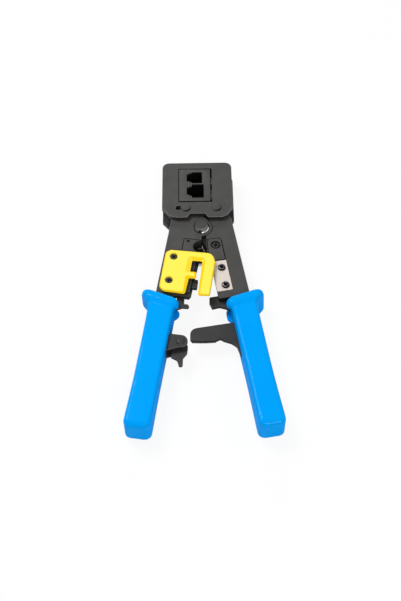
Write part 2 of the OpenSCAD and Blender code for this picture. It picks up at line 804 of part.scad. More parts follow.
module anvil_cover_plate() {
    color("#46484c") difference() {
        on_left() layer(lever_top, cover_top) difference() {
            plan([[-9.9, -cover_head, 1.5], [1.2, -cover_head, 0.3], [1.5, -13, 0], [1.5, -22, 2],
                [0.9, -54, 1], [-9.9, -54, 1]]);
            translate([-6.6, -cover_head - 2.2]) circle(0.55);
        }
        layer(lever_top - cut, cover_top + cut) spring_hole();
    }
}

module cutter_anvil() {
    out = 1.2 + anvil_out;
    color("#1e1f21") on_left() difference() {
        union() {
            layer(-left_in, left_in) plan([[-19, -28, 1], [1.1, -28, 0.5], [1.1, -41, 0.5],
                [0.1, -42, 0.5], [0.1, -52.4, 0.5], [-19, -52.4, 1]]);
            layer(2.9, left_in) plan([[-1, -42.4, 0.2], [out - 0.2, -42.4, 0.6],
                [out, -48.8, 0.6], [-1, -48.8, 0.2]]);
            layer(left_in - cut, lever_top - 0.05) plan([[1.1, -42.4, 0.3], [out - 0.2, -42.4, 0.6],
                [out, -48.8, 0.6], [1.1, -48.8, 0.3]]);
        }
        for (y = guard_screw_y) translate([guard_screw_x, -y, z_mid])
            cylinder(h = head_out, r = guard_shank + hold_fit);
    }
}

module guard_outline() {
    slot_right = guard_right - guard_bar_w;
    slot_left = slot_right - guard_slot_w;
    plan([
        [guard_left, -guard_start - 0.3, 4.2], [guard_right - 3, -guard_start + 0.7, 5],
            [guard_right, -guard_start - 5.5, 4],
        [guard_right + 0.2, -guard_end + 0.6, 1.2], [guard_right - guard_bar_w + 1, -guard_end, 1.2],
        [slot_right, -guard_start - guard_arch, 1], [slot_left, -guard_start - guard_arch, 1],
        [slot_left, -guard_start - 15.2, 0.4], [slot_left + 4.2, -guard_start - 15.2, 0.5],
        [slot_left + 4.6, -guard_start - 20.4, 0.5], [slot_left, -guard_start - 20.4, 0.4],
        [slot_left, -guard_end, 1.6], [guard_left + 0.4, -guard_end + 0.4, 5]
    ]);
}

module blade_guard() {
    color("#ffe030") on_left() difference() {
        union() {
            layer(guard_under, guard_top) guard_outline();
            layer(cover_top, guard_under) plan([[guard_left, -guard_start - 0.3, 4.2],
                [-2.6, -guard_start - 0.3, 1],
                [-2.6, -guard_end + 2.2, 1], [guard_left + 0.4, -guard_end + 2.2, 4]]);
        }
        for (y = guard_screw_y) translate([guard_screw_x, -y, z_mid + guard_top - 0.5])
            sunk_hole(guard_screw_r, guard_shank, guard_top);
        for (y = guard_screw_y) translate([guard_screw_x, -y, z_mid + guard_top - 0.6])
            cylinder(h = 1 + cut, r = guard_screw_r + 0.2);
    }
}

module guard_screws() {
    color("#1e1f21") on_left() for (y = guard_screw_y) translate([guard_screw_x, -y, z_mid + guard_top - 0.5])
        sunk_screw(guard_screw_r, guard_shank, guard_top - 1.5);
}

module left_stripper_hook() {
    low = ram_t / 2 + layer_gap + 0.1;
    color("#1e1f21") on_left() layer(low, left_in) {
        plan([[-7, -52.6, 0.8], [-2.4, -52.6, 0.4], [-2.4, -56.6, 0.6], [-1.9, -60.7, 0.5],
            [0.3, -60.5, 0.9], [1.6, -61.9, 0.7], [0.9, -63.1, 0.4], [-2.6, -63.2, 3],
            [-6.2, -65.4, 0.5], [-7, -65, 0.4]]);
    }
}

module left_lever_spacers() {
    color("#77797d") on_left() layer(-left_in, left_in) for (p = left_rivet_at) translate(p) difference() {
        circle(rivet_r * 2);
        circle(rivet_r + hold_fit);
    }
}

module left_lever_rivets() {
    color("#77797d") on_left() layer(-lever_top, lever_top) for (p = left_rivet_at) translate(p)
        circle(rivet_r);
}

// ---- Pawl ----

module pawl_bracket() {
    color("#2a2c2f") on_left() difference() {
        union() {
            for (side = [-1, 1]) layer(side > 0 ? ear_out - ear_t : -ear_out,
                side > 0 ? ear_out : ear_t - ear_out) {
                translate(pawl_at) circle(ear_r);
                plan([[-tang_inner, -84.2, 0], [pawl_at.x, -84.2, 0],
                    [pawl_at.x, -pawl_pin_y - ear_r, 0], [-3, -94.5, 3],
                    [-tang_inner, -97.2, 0]]);
            }
            layer(-ear_out, ear_out) translate([-tang_inner, -97.2]) square([1.8, 9]);
        }
        translate([pawl_at.x, pawl_at.y, 0]) cylinder(h = 2 * z_mid, r = pawl_pin_r + hold_fit);
    }
}

module pawl_pin() {
    color("#77797d") on_left() translate([pawl_at.x, pawl_at.y, z_mid]) {
        cylinder(h = 2 * ear_out, r = pawl_pin_r, center = true);
        for (side = [0, 1]) mirror([0, 0, side]) translate([0, 0, ear_out]) rotate_extrude()
            polygon([[0, 0], [2.8, 0], [2.8, 0.3], [2, 0.7], [0, 0.9]]);
    }
}

module pawl_spring() {
    low = pawl_t / 2 + 0.2;
    high = ear_out - ear_t - 0.1;
    wire = 0.3;
    color("#a0a3a7") on_left() {
        layer(low, high) translate(pawl_at) difference() {
            circle(pawl_pin_r + 1);
            circle(pawl_pin_r + 0.3);
        }
        layer(low, low + 2 * wire) translate(pawl_at + [-pawl_pin_r - 0.95, -4.5]) square([2 * wire, 4.5]);
    }
}

module pawl() {
    color("#26282b") on_left() layer(-pawl_t / 2, pawl_t / 2) translate(pawl_at) difference() {
        plan([[2.1, 2.2, 0.2], [4.6, -0.5, 1.5], [4.9, -5.5, 2], [2.9, -9, 2], [3.6, -14.6, 1.1],
            [1.4, -15.2, 0.9],
            [-0.4, -11, 2.5], [-4.4, -9.6, 0.8], [-4.6, -5.2, 1.5], [-2.6, 1.6, 1.5]]);
        circle(pawl_pin_r + pin_fit);
    }
}

// ---- Opening spring ----

function peg_place(side) =
    let (a = leg_turn[side], n = side == 0 ? a - 90 : a + 90, off = peg_r + spring_wire_r + 0.1 - leg_start)
    spring_at + peg_along * [cos(a), sin(a)] + off * [cos(n), sin(n)];

module opening_spring() {
    color("#a0a3a7") {
        layer(-ram_t / 2, ram_t / 2) translate(spring_at) difference() {
            circle(spring_coil_r);
            circle(spring_coil_r - 2.5 * spring_wire_r);
        }
        for (side = [0, 1]) translate([spring_at.x, spring_at.y,
            z_mid + (side - 0.5) * (ram_t - 3 * spring_wire_r)])
            rotate(leg_turn[side]) translate([0, (side == 0 ? 1 : -1) * leg_start, 0]) rotate([0, 90, 0])
                cylinder(h = leg_l, r = spring_wire_r);
    }
}

module left_spring_peg() {
    color("#77797d") layer(-left_in, left_in) translate(peg_place(0)) circle(peg_r);
}

module right_spring_peg() {
    color("#77797d") layer(-right_in, right_in) translate(peg_place(1)) circle(peg_r);
}

head_body();
head_rear_plate();
head_screws();
die_block();
die_screws();
right_head_pin();
ram_plate();
punch_holder();
holder_pins();
contact_punch_8p();
contact_punch_6p();
relief_punches();
trim_blade();
trim_blade_screws();
right_lever_front_plate();
right_lever_rear_plate();
pivot_bolt();
pivot_nut();
pivot_bush();
blade_backing_plate();
backing_plate_screw();
cutter_blade();
cutter_blade_screws();
right_stripper_block();
ratchet_arm();
right_lever_rivets();
right_grip();
left_lever_front_plate();
left_lever_rear_plate();
left_slide_pin();
anvil_cover_plate();
cutter_anvil();
blade_guard();
guard_screws();
left_stripper_hook();
left_lever_spacers();
left_lever_rivets();
pawl_bracket();
pawl_pin();
pawl_spring();
left_grip();
opening_spring();
left_spring_peg();
right_spring_peg();
pawl();
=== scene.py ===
"""Visible pieces, finishes and stage of an open crimping tool for modular plugs."""

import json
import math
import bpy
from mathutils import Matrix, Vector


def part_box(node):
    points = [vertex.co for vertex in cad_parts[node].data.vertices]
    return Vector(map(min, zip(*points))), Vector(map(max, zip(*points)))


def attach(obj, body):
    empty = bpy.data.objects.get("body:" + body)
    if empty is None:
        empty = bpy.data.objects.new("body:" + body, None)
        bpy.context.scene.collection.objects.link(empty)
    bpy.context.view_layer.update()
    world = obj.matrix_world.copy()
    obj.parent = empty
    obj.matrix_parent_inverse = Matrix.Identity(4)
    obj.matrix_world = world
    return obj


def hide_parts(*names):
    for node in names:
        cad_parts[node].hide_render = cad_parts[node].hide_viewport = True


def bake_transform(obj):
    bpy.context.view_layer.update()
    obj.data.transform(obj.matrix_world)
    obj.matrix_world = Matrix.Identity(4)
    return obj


bl_info = {
    "name": "Crimping Tool Builder",
    "version": (1, 0, 0),
    "blender": (4, 5, 0),
    "location": "3D View > Sidebar > Crimping Tool",
    "description": "Builds the visible pieces and finishes of a crimping tool on its packed frame",
    "category": "Add Mesh",
}

import bmesh
import bpy
import numpy as np
from bpy.props import FloatProperty, FloatVectorProperty, IntProperty, PointerProperty
from mathutils import Matrix, Vector

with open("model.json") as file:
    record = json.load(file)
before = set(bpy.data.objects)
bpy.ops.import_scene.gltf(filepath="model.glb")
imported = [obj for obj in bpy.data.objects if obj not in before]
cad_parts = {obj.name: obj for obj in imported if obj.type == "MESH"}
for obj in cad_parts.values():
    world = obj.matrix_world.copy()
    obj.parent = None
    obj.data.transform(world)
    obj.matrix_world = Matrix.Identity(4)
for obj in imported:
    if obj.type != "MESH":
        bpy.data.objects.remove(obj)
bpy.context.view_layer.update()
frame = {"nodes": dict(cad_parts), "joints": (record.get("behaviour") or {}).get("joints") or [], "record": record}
NODES = frame["nodes"]
BODY_OF = {node: body for body, nodes in frame["record"]["behaviour"]["bodies"].items() for node in nodes}
JOINTS = {joint["name"]: joint for joint in frame["joints"]}
MM = 0.001
MID = JOINTS["left_lever_turn"]["pos_m"][2]          # height of the tool's middle plane
LEVER_TILT = math.radians(9.2)                       # each lever's angle from the tool's middle line
ROUND = 64                                           # columns round a turned piece


# ---------------------------------------------------------------- settings

class CrimperSizes(bpy.types.PropertyGroup):
    """Sizes of the pieces that are finer than the frame"""
    plate_edge: FloatProperty(
        name="Plate edge", description="Rounding of the steel plates' edges",
        default=0.00022, min=0.00005, max=0.0005, unit="LENGTH", precision=5)
    guard_edge: FloatProperty(
        name="Guard edge", description="Rounding of the guard's outer edges",
        default=0.0011, min=0.0003, max=0.0012, unit="LENGTH", precision=5)
    guard_slope: FloatProperty(
        name="Guard slope", description="Width of the slope that leads to the guard's slot",
        default=0.0030, min=0.0012, max=0.0034, unit="LENGTH", precision=5)
    rim_round: FloatProperty(
        name="Rim rounding", description="Radius of the rounded rim at the front of a grip",
        default=0.0030, min=0.001, max=0.0034, unit="LENGTH", precision=5)
    grip_half: FloatProperty(
        name="Grip half thickness", description="Half the thickness of a grip behind its rim",
        default=0.0087, min=0.0075, max=0.0088, unit="LENGTH", precision=5)
    spring_turns: IntProperty(
        name="Spring turns", description="Turns of the opening spring's coil", default=3, min=2, max=4)


class CrimperColours(bpy.types.PropertyGroup):
    """Colours of the finishes"""
    plate: FloatVectorProperty(
        name="Plates", description="Satin black of the steel plates", subtype="COLOR",
        default=(0.052, 0.051, 0.049), min=0, max=1)
    dark: FloatVectorProperty(
        name="Dark steel", description="Blackened small steel pieces", subtype="COLOR",
        default=(0.030, 0.030, 0.030), min=0, max=1)
    fastener: FloatVectorProperty(
        name="Fasteners", description="Black oxide of the screws", subtype="COLOR",
        default=(0.012, 0.012, 0.013), min=0, max=1)
    steel: FloatVectorProperty(
        name="Steel", description="Ground tool steel", subtype="COLOR",
        default=(0.46, 0.45, 0.44), min=0, max=1)
    blade: FloatVectorProperty(
        name="Blade", description="Pale ground blade", subtype="COLOR",
        default=(0.74, 0.66, 0.60), min=0, max=1)
    spring: FloatVectorProperty(
        name="Spring", description="Drawn spring wire", subtype="COLOR",
        default=(0.16, 0.13, 0.11), min=0, max=1)
    grip: FloatVectorProperty(
        name="Grips", description="Blue dipped vinyl", subtype="COLOR",
        default=(0.0, 0.36, 0.96), min=0, max=1)
    guard: FloatVectorProperty(
        name="Guard", description="Yellow moulded plastic", subtype="COLOR",
        default=(1.0, 0.84, 0.085), min=0, max=1)


class CrimperStage(bpy.types.PropertyGroup):
    """The camera and the light"""
    elevation: FloatProperty(
        name="Camera elevation", description="Angle of the camera above the bench",
        default=math.radians(55.275), subtype="ANGLE")
    roll: FloatProperty(
        name="Camera roll", description="Turn of the camera about its own line of sight",
        default=math.radians(-0.86), subtype="ANGLE")
    distance: FloatProperty(
        name="Camera distance", description="Distance from the point that the camera looks at",
        default=0.610775, unit="LENGTH")
    lens: FloatProperty(
        name="Lens", description="Focal length for a 36 mm high sensor", default=58.25)
    look_x: FloatProperty(
        name="Look at X", description="Across the tool", default=-0.001342, unit="LENGTH", precision=5)
    look_y: FloatProperty(
        name="Look at Y", description="Along the tool", default=-0.054692, unit="LENGTH", precision=5)
    lamp: FloatProperty(
        name="Lamp", description="Strength of the soft boxes", default=1.0, min=0)


# ---------------------------------------------------------------- arrays and meshes

def rotated(points, angle):
    """Points turned about Z: x' = x cos a - y sin a and y' = x sin a + y cos a."""
    out = np.array(points, float)
    c, s = math.cos(angle), math.sin(angle)
    x, y = out[..., 0].copy(), out[..., 1].copy()
    out[..., 0] = x * c - y * s
    out[..., 1] = x * s + y * c
    return out


def rounded_outline(corners, steps=8):
    """A closed outline from rows of x, y and corner radius. Each corner becomes an arc that touches both
    sides: its ends lie r / tan(half the corner's angle) from the corner, and its centre on the bisector."""
    data = np.array(corners, float)
    p, r = data[:, :2], np.maximum(data[:, 2], 1e-6)
    u = np.roll(p, 1, axis=0) - p
    v = np.roll(p, -1, axis=0) - p
    u /= np.linalg.norm(u, axis=1)[:, None]
    v /= np.linalg.norm(v, axis=1)[:, None]
    half = np.arccos(np.clip((u * v).sum(1), -1, 1)) / 2
    bisector = u + v
    bisector /= np.linalg.norm(bisector, axis=1)[:, None]
    centre = p + bisector * (r / np.sin(half))[:, None]
    reach = (r / np.tan(half))[:, None]
    a = p + u * reach - centre
    b = p + v * reach - centre
    start = np.arctan2(a[:, 1], a[:, 0])
    sweep = np.arctan2(b[:, 1], b[:, 0]) - start
    sweep = (sweep + np.pi) % (2 * np.pi) - np.pi
    angle = start[:, None] + sweep[:, None] * np.linspace(0, 1, steps + 1)[None, :]
    ring = centre[:, None, :] + r[:, None, None] * np.stack([np.cos(angle), np.sin(angle)], axis=2)
    return ring.reshape(-1, 2)


def outline_normals(ring):
    """Outward unit normals of an anticlockwise outline, from each point's neighbours, turned a quarter
    clockwise."""
    along = np.roll(ring, -1, axis=0) - np.roll(ring, 1, axis=0)
    normal = np.stack([along[:, 1], -along[:, 0]], axis=1)
    return normal / np.maximum(np.linalg.norm(normal, axis=1), 1e-12)[:, None]


def finished(name, mesh, sharp=32.0):
    """An object for a finished mesh, smooth except at edges sharper than the angle in degrees."""
    mesh.validate()
    mesh.shade_smooth()
    mesh.set_sharp_from_angle(angle=math.radians(sharp))
    piece = bpy.data.objects.new(name, mesh)
    bpy.context.scene.collection.objects.link(piece)
    return piece


def outward(mesh):
    """Turns all faces outwards."""
    work = bmesh.new()
    work.from_mesh(mesh)
    bmesh.ops.recalc_face_normals(work, faces=work.faces)
    work.to_mesh(mesh)
    work.free()


def skin(name, grid, start_cap=True, end_cap=True, closed_rows=False, sharp=32.0):
    """A skin over a grid of rows x columns x 3. The columns close on themselves. Neighbouring points are
    joined by four-sided faces, and the first and last rows are closed by a fan about their middle."""
    rows, columns = grid.shape[:2]
    index = np.arange(rows * columns).reshape(rows, columns)
    if closed_rows:
        below = np.roll(index, -1, axis=0)
        here = index
    else:
        here, below = index[:-1], index[1:]
    quads = np.stack([here, np.roll(here, -1, axis=1), np.roll(below, -1, axis=1), below], axis=2)
    quads = quads.reshape(-1, 4)
    points = grid.reshape(-1, 3)
    faces = quads.tolist()
    for row, wanted in ((0, start_cap), (rows - 1, end_cap)):
        if wanted and not closed_rows:
            middle = len(points)
            points = np.vstack([points, grid[row].mean(axis=0)])
            ring = index[row]
            fan = np.stack([np.full(columns, middle), ring, np.roll(ring, -1)], axis=1)
            faces += fan.tolist()
    mesh = bpy.data.meshes.new(name)
    mesh.from_pydata(points.tolist(), [], faces)
    outward(mesh)
    return finished(name, mesh, sharp)


def turned(name, centre, profile, columns=ROUND, sharp=32.0, shape=None):
    """A turned piece: each row of the profile is a radius and a height, carried round the centre's upright
    axis. shape may change the radii of a row from their angles."""
    rows = np.array(profile, float)
    angle = np.linspace(0, 2 * np.pi, columns, endpoint=False)
    radius = np.repeat(rows[:, :1], columns, axis=1)
    if shape is not None:
        radius = shape(radius, rows, angle)
    grid = np.stack([
        centre[0] + radius * np.cos(angle)[None, :],
        centre[1] + radius * np.sin(angle)[None, :],
        np.repeat(rows[:, 1:2], columns, axis=1),
    ], axis=2)
    return skin(name, grid, sharp=sharp)


def swept_wire(name, path, radius, columns=12):
    """A round wire carried along a path. At each point the ring stands square to the path, with its first
    direction turned from the one before it as little as possible."""
    path = np.array(path, float)
    along = np.gradient(path, axis=0)
    along /= np.linalg.norm(along, axis=1)[:, None]
    guide = np.tile(np.array([0.0, 0.0, 1.0]), (len(path), 1))
    side = np.cross(along, guide)
    side /= np.linalg.norm(side, axis=1)[:, None]
    up = np.cross(side, along)
    angle = np.linspace(0, 2 * np.pi, columns, endpoint=False)
    ring = np.cos(angle)[None, :, None] * side[:, None, :] + np.sin(angle)[None, :, None] * up[:, None, :]
    return skin(name, path[:, None, :] + radius * ring, sharp=60)


def merged_copy(name, node):
    """A copy of a frame node's surface as one closed skin, with flat areas made whole."""
    mesh = NODES[node].data.copy()
    mesh.name = name
    mesh.materials.clear()
    work = bmesh.new()
    work.from_mesh(mesh)
    bmesh.ops.remove_doubles(work, verts=work.verts, dist=2e-6)
    bmesh.ops.dissolve_limit(
        work, angle_limit=math.radians(0.6), use_dissolve_boundaries=False,
        verts=work.verts, edges=work.edges)
    return mesh, work


def softened(node, width, segments=2, worn=None, where=None):
    """The node's surface with its rims rounded to the width. A rim is a level edge between two faces that
    turn more than 26 degrees. Upright corners are rounded too where no short edge lies next to them. worn
    says from a rim's middle whether it is marked for the rim colour, which is rubbed wear on the plates and
    the dark pieces and painted shade on the die and the backing and cover plates, and where says from an
    edge's two ends whether it is rounded at all. The upright sides are marked as walls, which the finishes
    darken as painted shade."""
    mesh, work = merged_copy(node + "_soft", node)
    turning = [edge for edge in work.edges
               if len(edge.link_faces) == 2 and edge.calc_face_angle(0) > math.radians(26)]

    def level(edge):
        start, end = edge.verts
        return abs(start.co.z - end.co.z) < 0.3 * edge.calc_length()

    def roomy(edge):
        near = [other.calc_length() for vert in edge.verts for other in vert.link_edges if other is not edge]
        return edge.calc_face_angle(0) > math.radians(50) and min(near) > 3.2 * width

    chosen = [edge for edge in turning if (edge.calc_length() > 1e-5 and level(edge)) or roomy(edge)]
    if where is not None:
        chosen = [edge for edge in chosen if where(edge.verts[0].co) and where(edge.verts[1].co)]
    rim = work.faces.layers.float.new("rim")
    made = bmesh.ops.bevel(
        work, geom=chosen, offset=width, offset_type="OFFSET", segments=segments, profile=0.5,
        affect="EDGES", clamp_overlap=False, miter_outer="SHARP", miter_inner="SHARP")
    for face in made["faces"]:
        face[rim] = 1.0 if worn is None or worn(face.calc_center_median()) else 0.0
    # Walls: the upright sides, painted darker as painted shade.
    wall = work.faces.layers.float.new("wall")
    work.normal_update()
    for face in work.faces:
        face[wall] = 1.0 if abs(face.normal.z) < 0.3 else 0.0
    work.to_mesh(mesh)
    work.free()
    piece = finished(node + "_soft", mesh, 60)
    return flat_shaded(piece)


def flat_shaded(piece):
    """Lets each point take the direction of the largest face beside it, so that flat faces look flat."""
    weigh = piece.modifiers.new("weigh", "WEIGHTED_NORMAL")
    weigh.mode = "FACE_AREA"
    weigh.weight = 100
    weigh.keep_sharp = True
    bpy.context.view_layer.update()
    piece.data = bpy.data.meshes.new_from_object(
        piece.evaluated_get(bpy.context.evaluated_depsgraph_get()))
    piece.modifiers.clear()
    return piece


def mark_slopes(mesh, steep=0.25, flat=0.95):
    """Marks each face of a mesh from how far it leans: 0 where its normal's upright share is above flat, 1
    where it is below steep, and in proportion between them."""
    upright = np.abs(face_rows(mesh, "normal")[:, 2])
    set_marks(mesh, np.clip((flat - upright) / (flat - steep), 0, 1))


def face_rows(mesh, kind):
    """The normal or the center of every face, one row each."""
    rows = np.empty(len(mesh.polygons) * 3)
    mesh.polygons.foreach_get(kind, rows)
    return rows.reshape(-1, 3)


def face_centres(mesh):
    """The middle of every face, one row each."""
    return face_rows(mesh, "center")


def set_marks(mesh, values, name="rim"):
    """Writes one value a face into an attribute that the finishes read: rim is the mask of rubbed rims and of
    painted shade and painted glints, and wall that of the sides, painted darker as painted shade and on the
    bolt paler as painted highlights."""
    layer = mesh.attributes.get(name) or mesh.attributes.new(name, "FLOAT", "FACE")
    layer.data.foreach_set("value", values)


def mark_rings(mesh, boxes, inner, outer):
    """Marks the faces of round heads whose distance from their own head's middle lies between two shares of
    the head's radius. A face belongs to the head whose middle is nearest."""
    middles = np.array([(low + high) / 2 for low, high in boxes])[:, :2]
    size = max((high - low)[0] for low, high in boxes) / 2
    far = np.hypot(*np.moveaxis(face_centres(mesh)[:, None, :2] - middles[None], 2, 0)).min(axis=1) / size
    set_marks(mesh, ((far > inner) & (far < outer)).astype(float))


def solid_boxes(node):
    """The lowest and highest corner of each loose solid of a frame node. Equal points share a number, and
    every triangle hands the lowest number of its corners to all three until nothing changes."""
    mesh = NODES[node].data
    points = np.empty(len(mesh.vertices) * 3)
    mesh.vertices.foreach_get("co", points)
    points = points.reshape(-1, 3)
    same = np.unique(np.round(points * 1e6).astype(int), axis=0, return_inverse=True)[1].ravel()
    mesh.calc_loop_triangles()
    corners = np.empty(len(mesh.loop_triangles) * 3, int)
    mesh.loop_triangles.foreach_get("vertices", corners)
    corners = same[corners].reshape(-1, 3)
    label = np.arange(same.max() + 1)
    while True:
        changed = label.copy()
        np.minimum.at(changed, corners.ravel(), np.repeat(label[corners].min(axis=1), 3))
        if (changed == label).all():
            break
        label = changed
    owner = label[same]
    return [(points[owner == value].min(0), points[owner == value].max(0)) for value in np.unique(owner)]


def place(piece, material, *nodes, body=None, bend=None):
    """Gives a piece its finish and its body, and hides the frame nodes that it stands for. bend holds the
    two bodies that a piece would bend between and the points where it starts and ends; these are not used,
    and when bend is given the piece's place is baked into its points and it joins no body."""
    piece.data.materials.clear()
    piece.data.materials.append(material)
    if bend:
        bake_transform(piece)
    else:
        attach(piece, body or BODY_OF[nodes[0]])
    if nodes:
        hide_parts(*nodes)
    return piece


def cut_with(piece, boxes, angle):
    """Cuts upright blocks out of a piece. Each is two corners in the frame of a lever, turned with it."""
    for low, high in boxes:
        corners = np.array([[x, y, z] for x in (low[0], high[0]) for y in (low[1], high[1])
                            for z in (low[2], high[2])])
        faces = [(0, 1, 3, 2), (4, 6, 7, 5), (0, 4, 5, 1), (2, 3, 7, 6), (0, 2, 6, 4), (1, 5, 7, 3)]
        mesh = bpy.data.meshes.new("cutter")
        mesh.from_pydata(rotated(corners, angle).tolist(), [], faces)
        outward(mesh)
        cutter = bpy.data.objects.new("cutter", mesh)
        bpy.context.scene.collection.objects.link(cutter)
        apply_cut(piece, cutter)


def apply_cut(piece, cutter):
    """Takes the cutter's volume away from the piece and removes the cutter."""
    cut = piece.modifiers.new("cut", "BOOLEAN")
    cut.operation = "DIFFERENCE"
    cut.solver = "EXACT"
    cut.object = cutter
    bpy.context.view_layer.update()
    result = bpy.data.meshes.new_from_object(piece.evaluated_get(bpy.context.evaluated_depsgraph_get()))
    piece.modifiers.clear()
    piece.data = result
    bpy.data.objects.remove(cutter)


# ---------------------------------------------------------------- finishes

def node_group(name, inputs, outputs):
    """A shader node group with its sockets, and its two end nodes."""
    tree = bpy.data.node_groups.new(name, "ShaderNodeTree")
    for label, kind, value in inputs:
        tree.interface.new_socket(label, in_out="INPUT", socket_type=kind).default_value = value
    for label, kind in outputs:
        tree.interface.new_socket(label, in_out="OUTPUT", socket_type=kind)
    return tree, tree.nodes.new("NodeGroupInput"), tree.nodes.new("NodeGroupOutput")


def calc(tree, operation, a, b=None, clamp=False):
    """One step of arithmetic. a and b are sockets or numbers."""
    step = tree.nodes.new("ShaderNodeMath")
    step.operation = operation
    step.use_clamp = clamp
    for socket, value in zip(step.inputs, (a, b)):
        if value is None:
            continue
        if isinstance(value, (int, float)):
            socket.default_value = value
        else:
            tree.links.new(value, socket)
    return step.outputs[0]


def blend_colours(tree, mask, a, b):
    """The colour a where the mask is 0 and b where it is 1."""
    mix = tree.nodes.new("ShaderNodeMix")
    mix.data_type = "RGBA"
    tree.links.new(mask, mix.inputs[0])
    for socket, value in ((mix.inputs[6], a), (mix.inputs[7], b)):
        if isinstance(value, tuple):
            socket.default_value = value
        else:
            tree.links.new(value, socket)
    return mix.outputs[2]


def noise(tree, vector, scale, detail=4.0, roughness=0.55):
    """Grey noise on a vector. The scale is a number or a socket."""
    cloud = tree.nodes.new("ShaderNodeTexNoise")
    cloud.inputs["Detail"].default_value = detail
    cloud.inputs["Roughness"].default_value = roughness
    tree.links.new(vector, cloud.inputs["Vector"])
    if isinstance(scale, (int, float)):
        cloud.inputs["Scale"].default_value = scale
    else:
        tree.links.new(scale, cloud.inputs["Scale"])
    return cloud.outputs[0]


def make_mottle():
    """Group: colour, roughness and height that wander a little over the surface, broadly and finely."""
    tree, start, end = node_group(
        "Mottle",
        [("Vector", "NodeSocketVector", (0, 0, 0)), ("Colour", "NodeSocketColor", (0.5, 0.5, 0.5, 1)),
         ("Other Colour", "NodeSocketColor", (0.4, 0.4, 0.4, 1)), ("Roughness", "NodeSocketFloat", 0.5),
         ("Broad Scale", "NodeSocketFloat", 90.0), ("Fine Scale", "NodeSocketFloat", 1500.0),
         ("Colour Change", "NodeSocketFloat", 0.5), ("Roughness Change", "NodeSocketFloat", 0.1)],
        [("Colour", "NodeSocketColor"), ("Roughness", "NodeSocketFloat"), ("Height", "NodeSocketFloat")])
    vector = start.outputs["Vector"]
    broad = noise(tree, vector, start.outputs["Broad Scale"], 5.0)
    fine = noise(tree, vector, start.outputs["Fine Scale"], 3.0)
    spread = tree.nodes.new("ShaderNodeMapRange")
    tree.links.new(broad, spread.inputs[0])
    spread.inputs[1].default_value = 0.32
    spread.inputs[2].default_value = 0.68
    both = calc(tree, "ADD", calc(tree, "MULTIPLY", spread.outputs[0], 0.6),
                calc(tree, "MULTIPLY", fine, 0.4))
    mask = calc(tree, "MULTIPLY", both, start.outputs["Colour Change"], clamp=True)
    colour = blend_colours(tree, mask, start.outputs["Colour"], start.outputs["Other Colour"])
    tree.links.new(colour, end.inputs[0])
    shift = calc(tree, "MULTIPLY", calc(tree, "SUBTRACT", both, 0.5), start.outputs["Roughness Change"])
    tree.links.new(calc(tree, "ADD", start.outputs["Roughness"], shift, clamp=True), end.inputs[1])
    tree.links.new(fine, end.inputs[2])
    return tree


def make_rim_rub_and_painted_light():
    """Group: where the mask of a piece's rims is 1, broken up by noise, the finish goes over to a second
    colour: a paler tone for rubbed edges, black for painted shade, grey for painted glints."""
    tree, start, end = node_group(
        "Edge Rub",
        [("Vector", "NodeSocketVector", (0, 0, 0)), ("Rim", "NodeSocketFloat", 0.0),
         ("Colour", "NodeSocketColor", (0.1, 0.1, 0.1, 1)),
         ("Rubbed Colour", "NodeSocketColor", (0.4, 0.4, 0.4, 1)), ("Amount", "NodeSocketFloat", 0.5)],
        [("Colour", "NodeSocketColor"), ("Mask", "NodeSocketFloat")])
    patches = noise(tree, start.outputs["Vector"], 420.0, 4.0)
    broken = calc(tree, "MULTIPLY", start.outputs["Rim"], calc(tree, "ADD", patches, 0.2, clamp=True))
    mask = calc(tree, "MULTIPLY", broken, start.outputs["Amount"], clamp=True)
    colour = blend_colours(tree, mask, start.outputs["Colour"], start.outputs["Rubbed Colour"])
    tree.links.new(colour, end.inputs[0])
    tree.links.new(mask, end.inputs[1])
    return tree


def make_grinding():
    """Group: fine parallel lines left by grinding. The vector is squeezed along one direction before the
    noise."""
    tree, start, end = node_group(
        "Grinding",
        [("Vector", "NodeSocketVector", (0, 0, 0)), ("Colour", "NodeSocketColor", (0.5, 0.5, 0.5, 1)),
         ("Line Colour", "NodeSocketColor", (0.4, 0.4, 0.4, 1)), ("Roughness", "NodeSocketFloat", 0.35),
         ("Strength", "NodeSocketFloat", 0.5)],
        [("Colour", "NodeSocketColor"), ("Roughness", "NodeSocketFloat"), ("Height", "NodeSocketFloat")])
    lines = noise(tree, start.outputs["Vector"], 1.0, 6.0, 0.65)
    mask = calc(tree, "MULTIPLY", lines, start.outputs["Strength"], clamp=True)
    colour = blend_colours(tree, mask, start.outputs["Colour"], start.outputs["Line Colour"])
    tree.links.new(colour, end.inputs[0])
    shift = calc(tree, "MULTIPLY", calc(tree, "SUBTRACT", lines, 0.5), 0.25)
    tree.links.new(calc(tree, "ADD", start.outputs["Roughness"], shift, clamp=True), end.inputs[1])
    tree.links.new(lines, end.inputs[2])
    return tree


GROUPS = {}
FINISHES = {}


def material_start(name, stretch=(1, 1, 1), turn=0.0):
    """A new material with its shader and a vector in object coordinates, turned and stretched."""
    material = bpy.data.materials.new(name)
    material.use_nodes = True
    tree = material.node_tree
    shader = tree.nodes["Principled BSDF"]
    place_of = tree.nodes.new("ShaderNodeTexCoord")
    mapping = tree.nodes.new("ShaderNodeMapping")
    mapping.inputs["Scale"].default_value = stretch
    mapping.inputs["Rotation"].default_value = (0, 0, turn)
    tree.links.new(place_of.outputs["Object"], mapping.inputs["Vector"])
    return material, tree, shader, mapping.outputs[0]


def add_group(tree, group, vector, values):
    """Places a node group in a material, with its own values."""
    node = tree.nodes.new("ShaderNodeGroup")
    node.node_tree = GROUPS[group]
    tree.links.new(vector, node.inputs["Vector"])
    for label, value in values.items():
        if hasattr(value, "is_linked"):
            tree.links.new(value, node.inputs[label])
        else:
            node.inputs[label].default_value = value
    return node


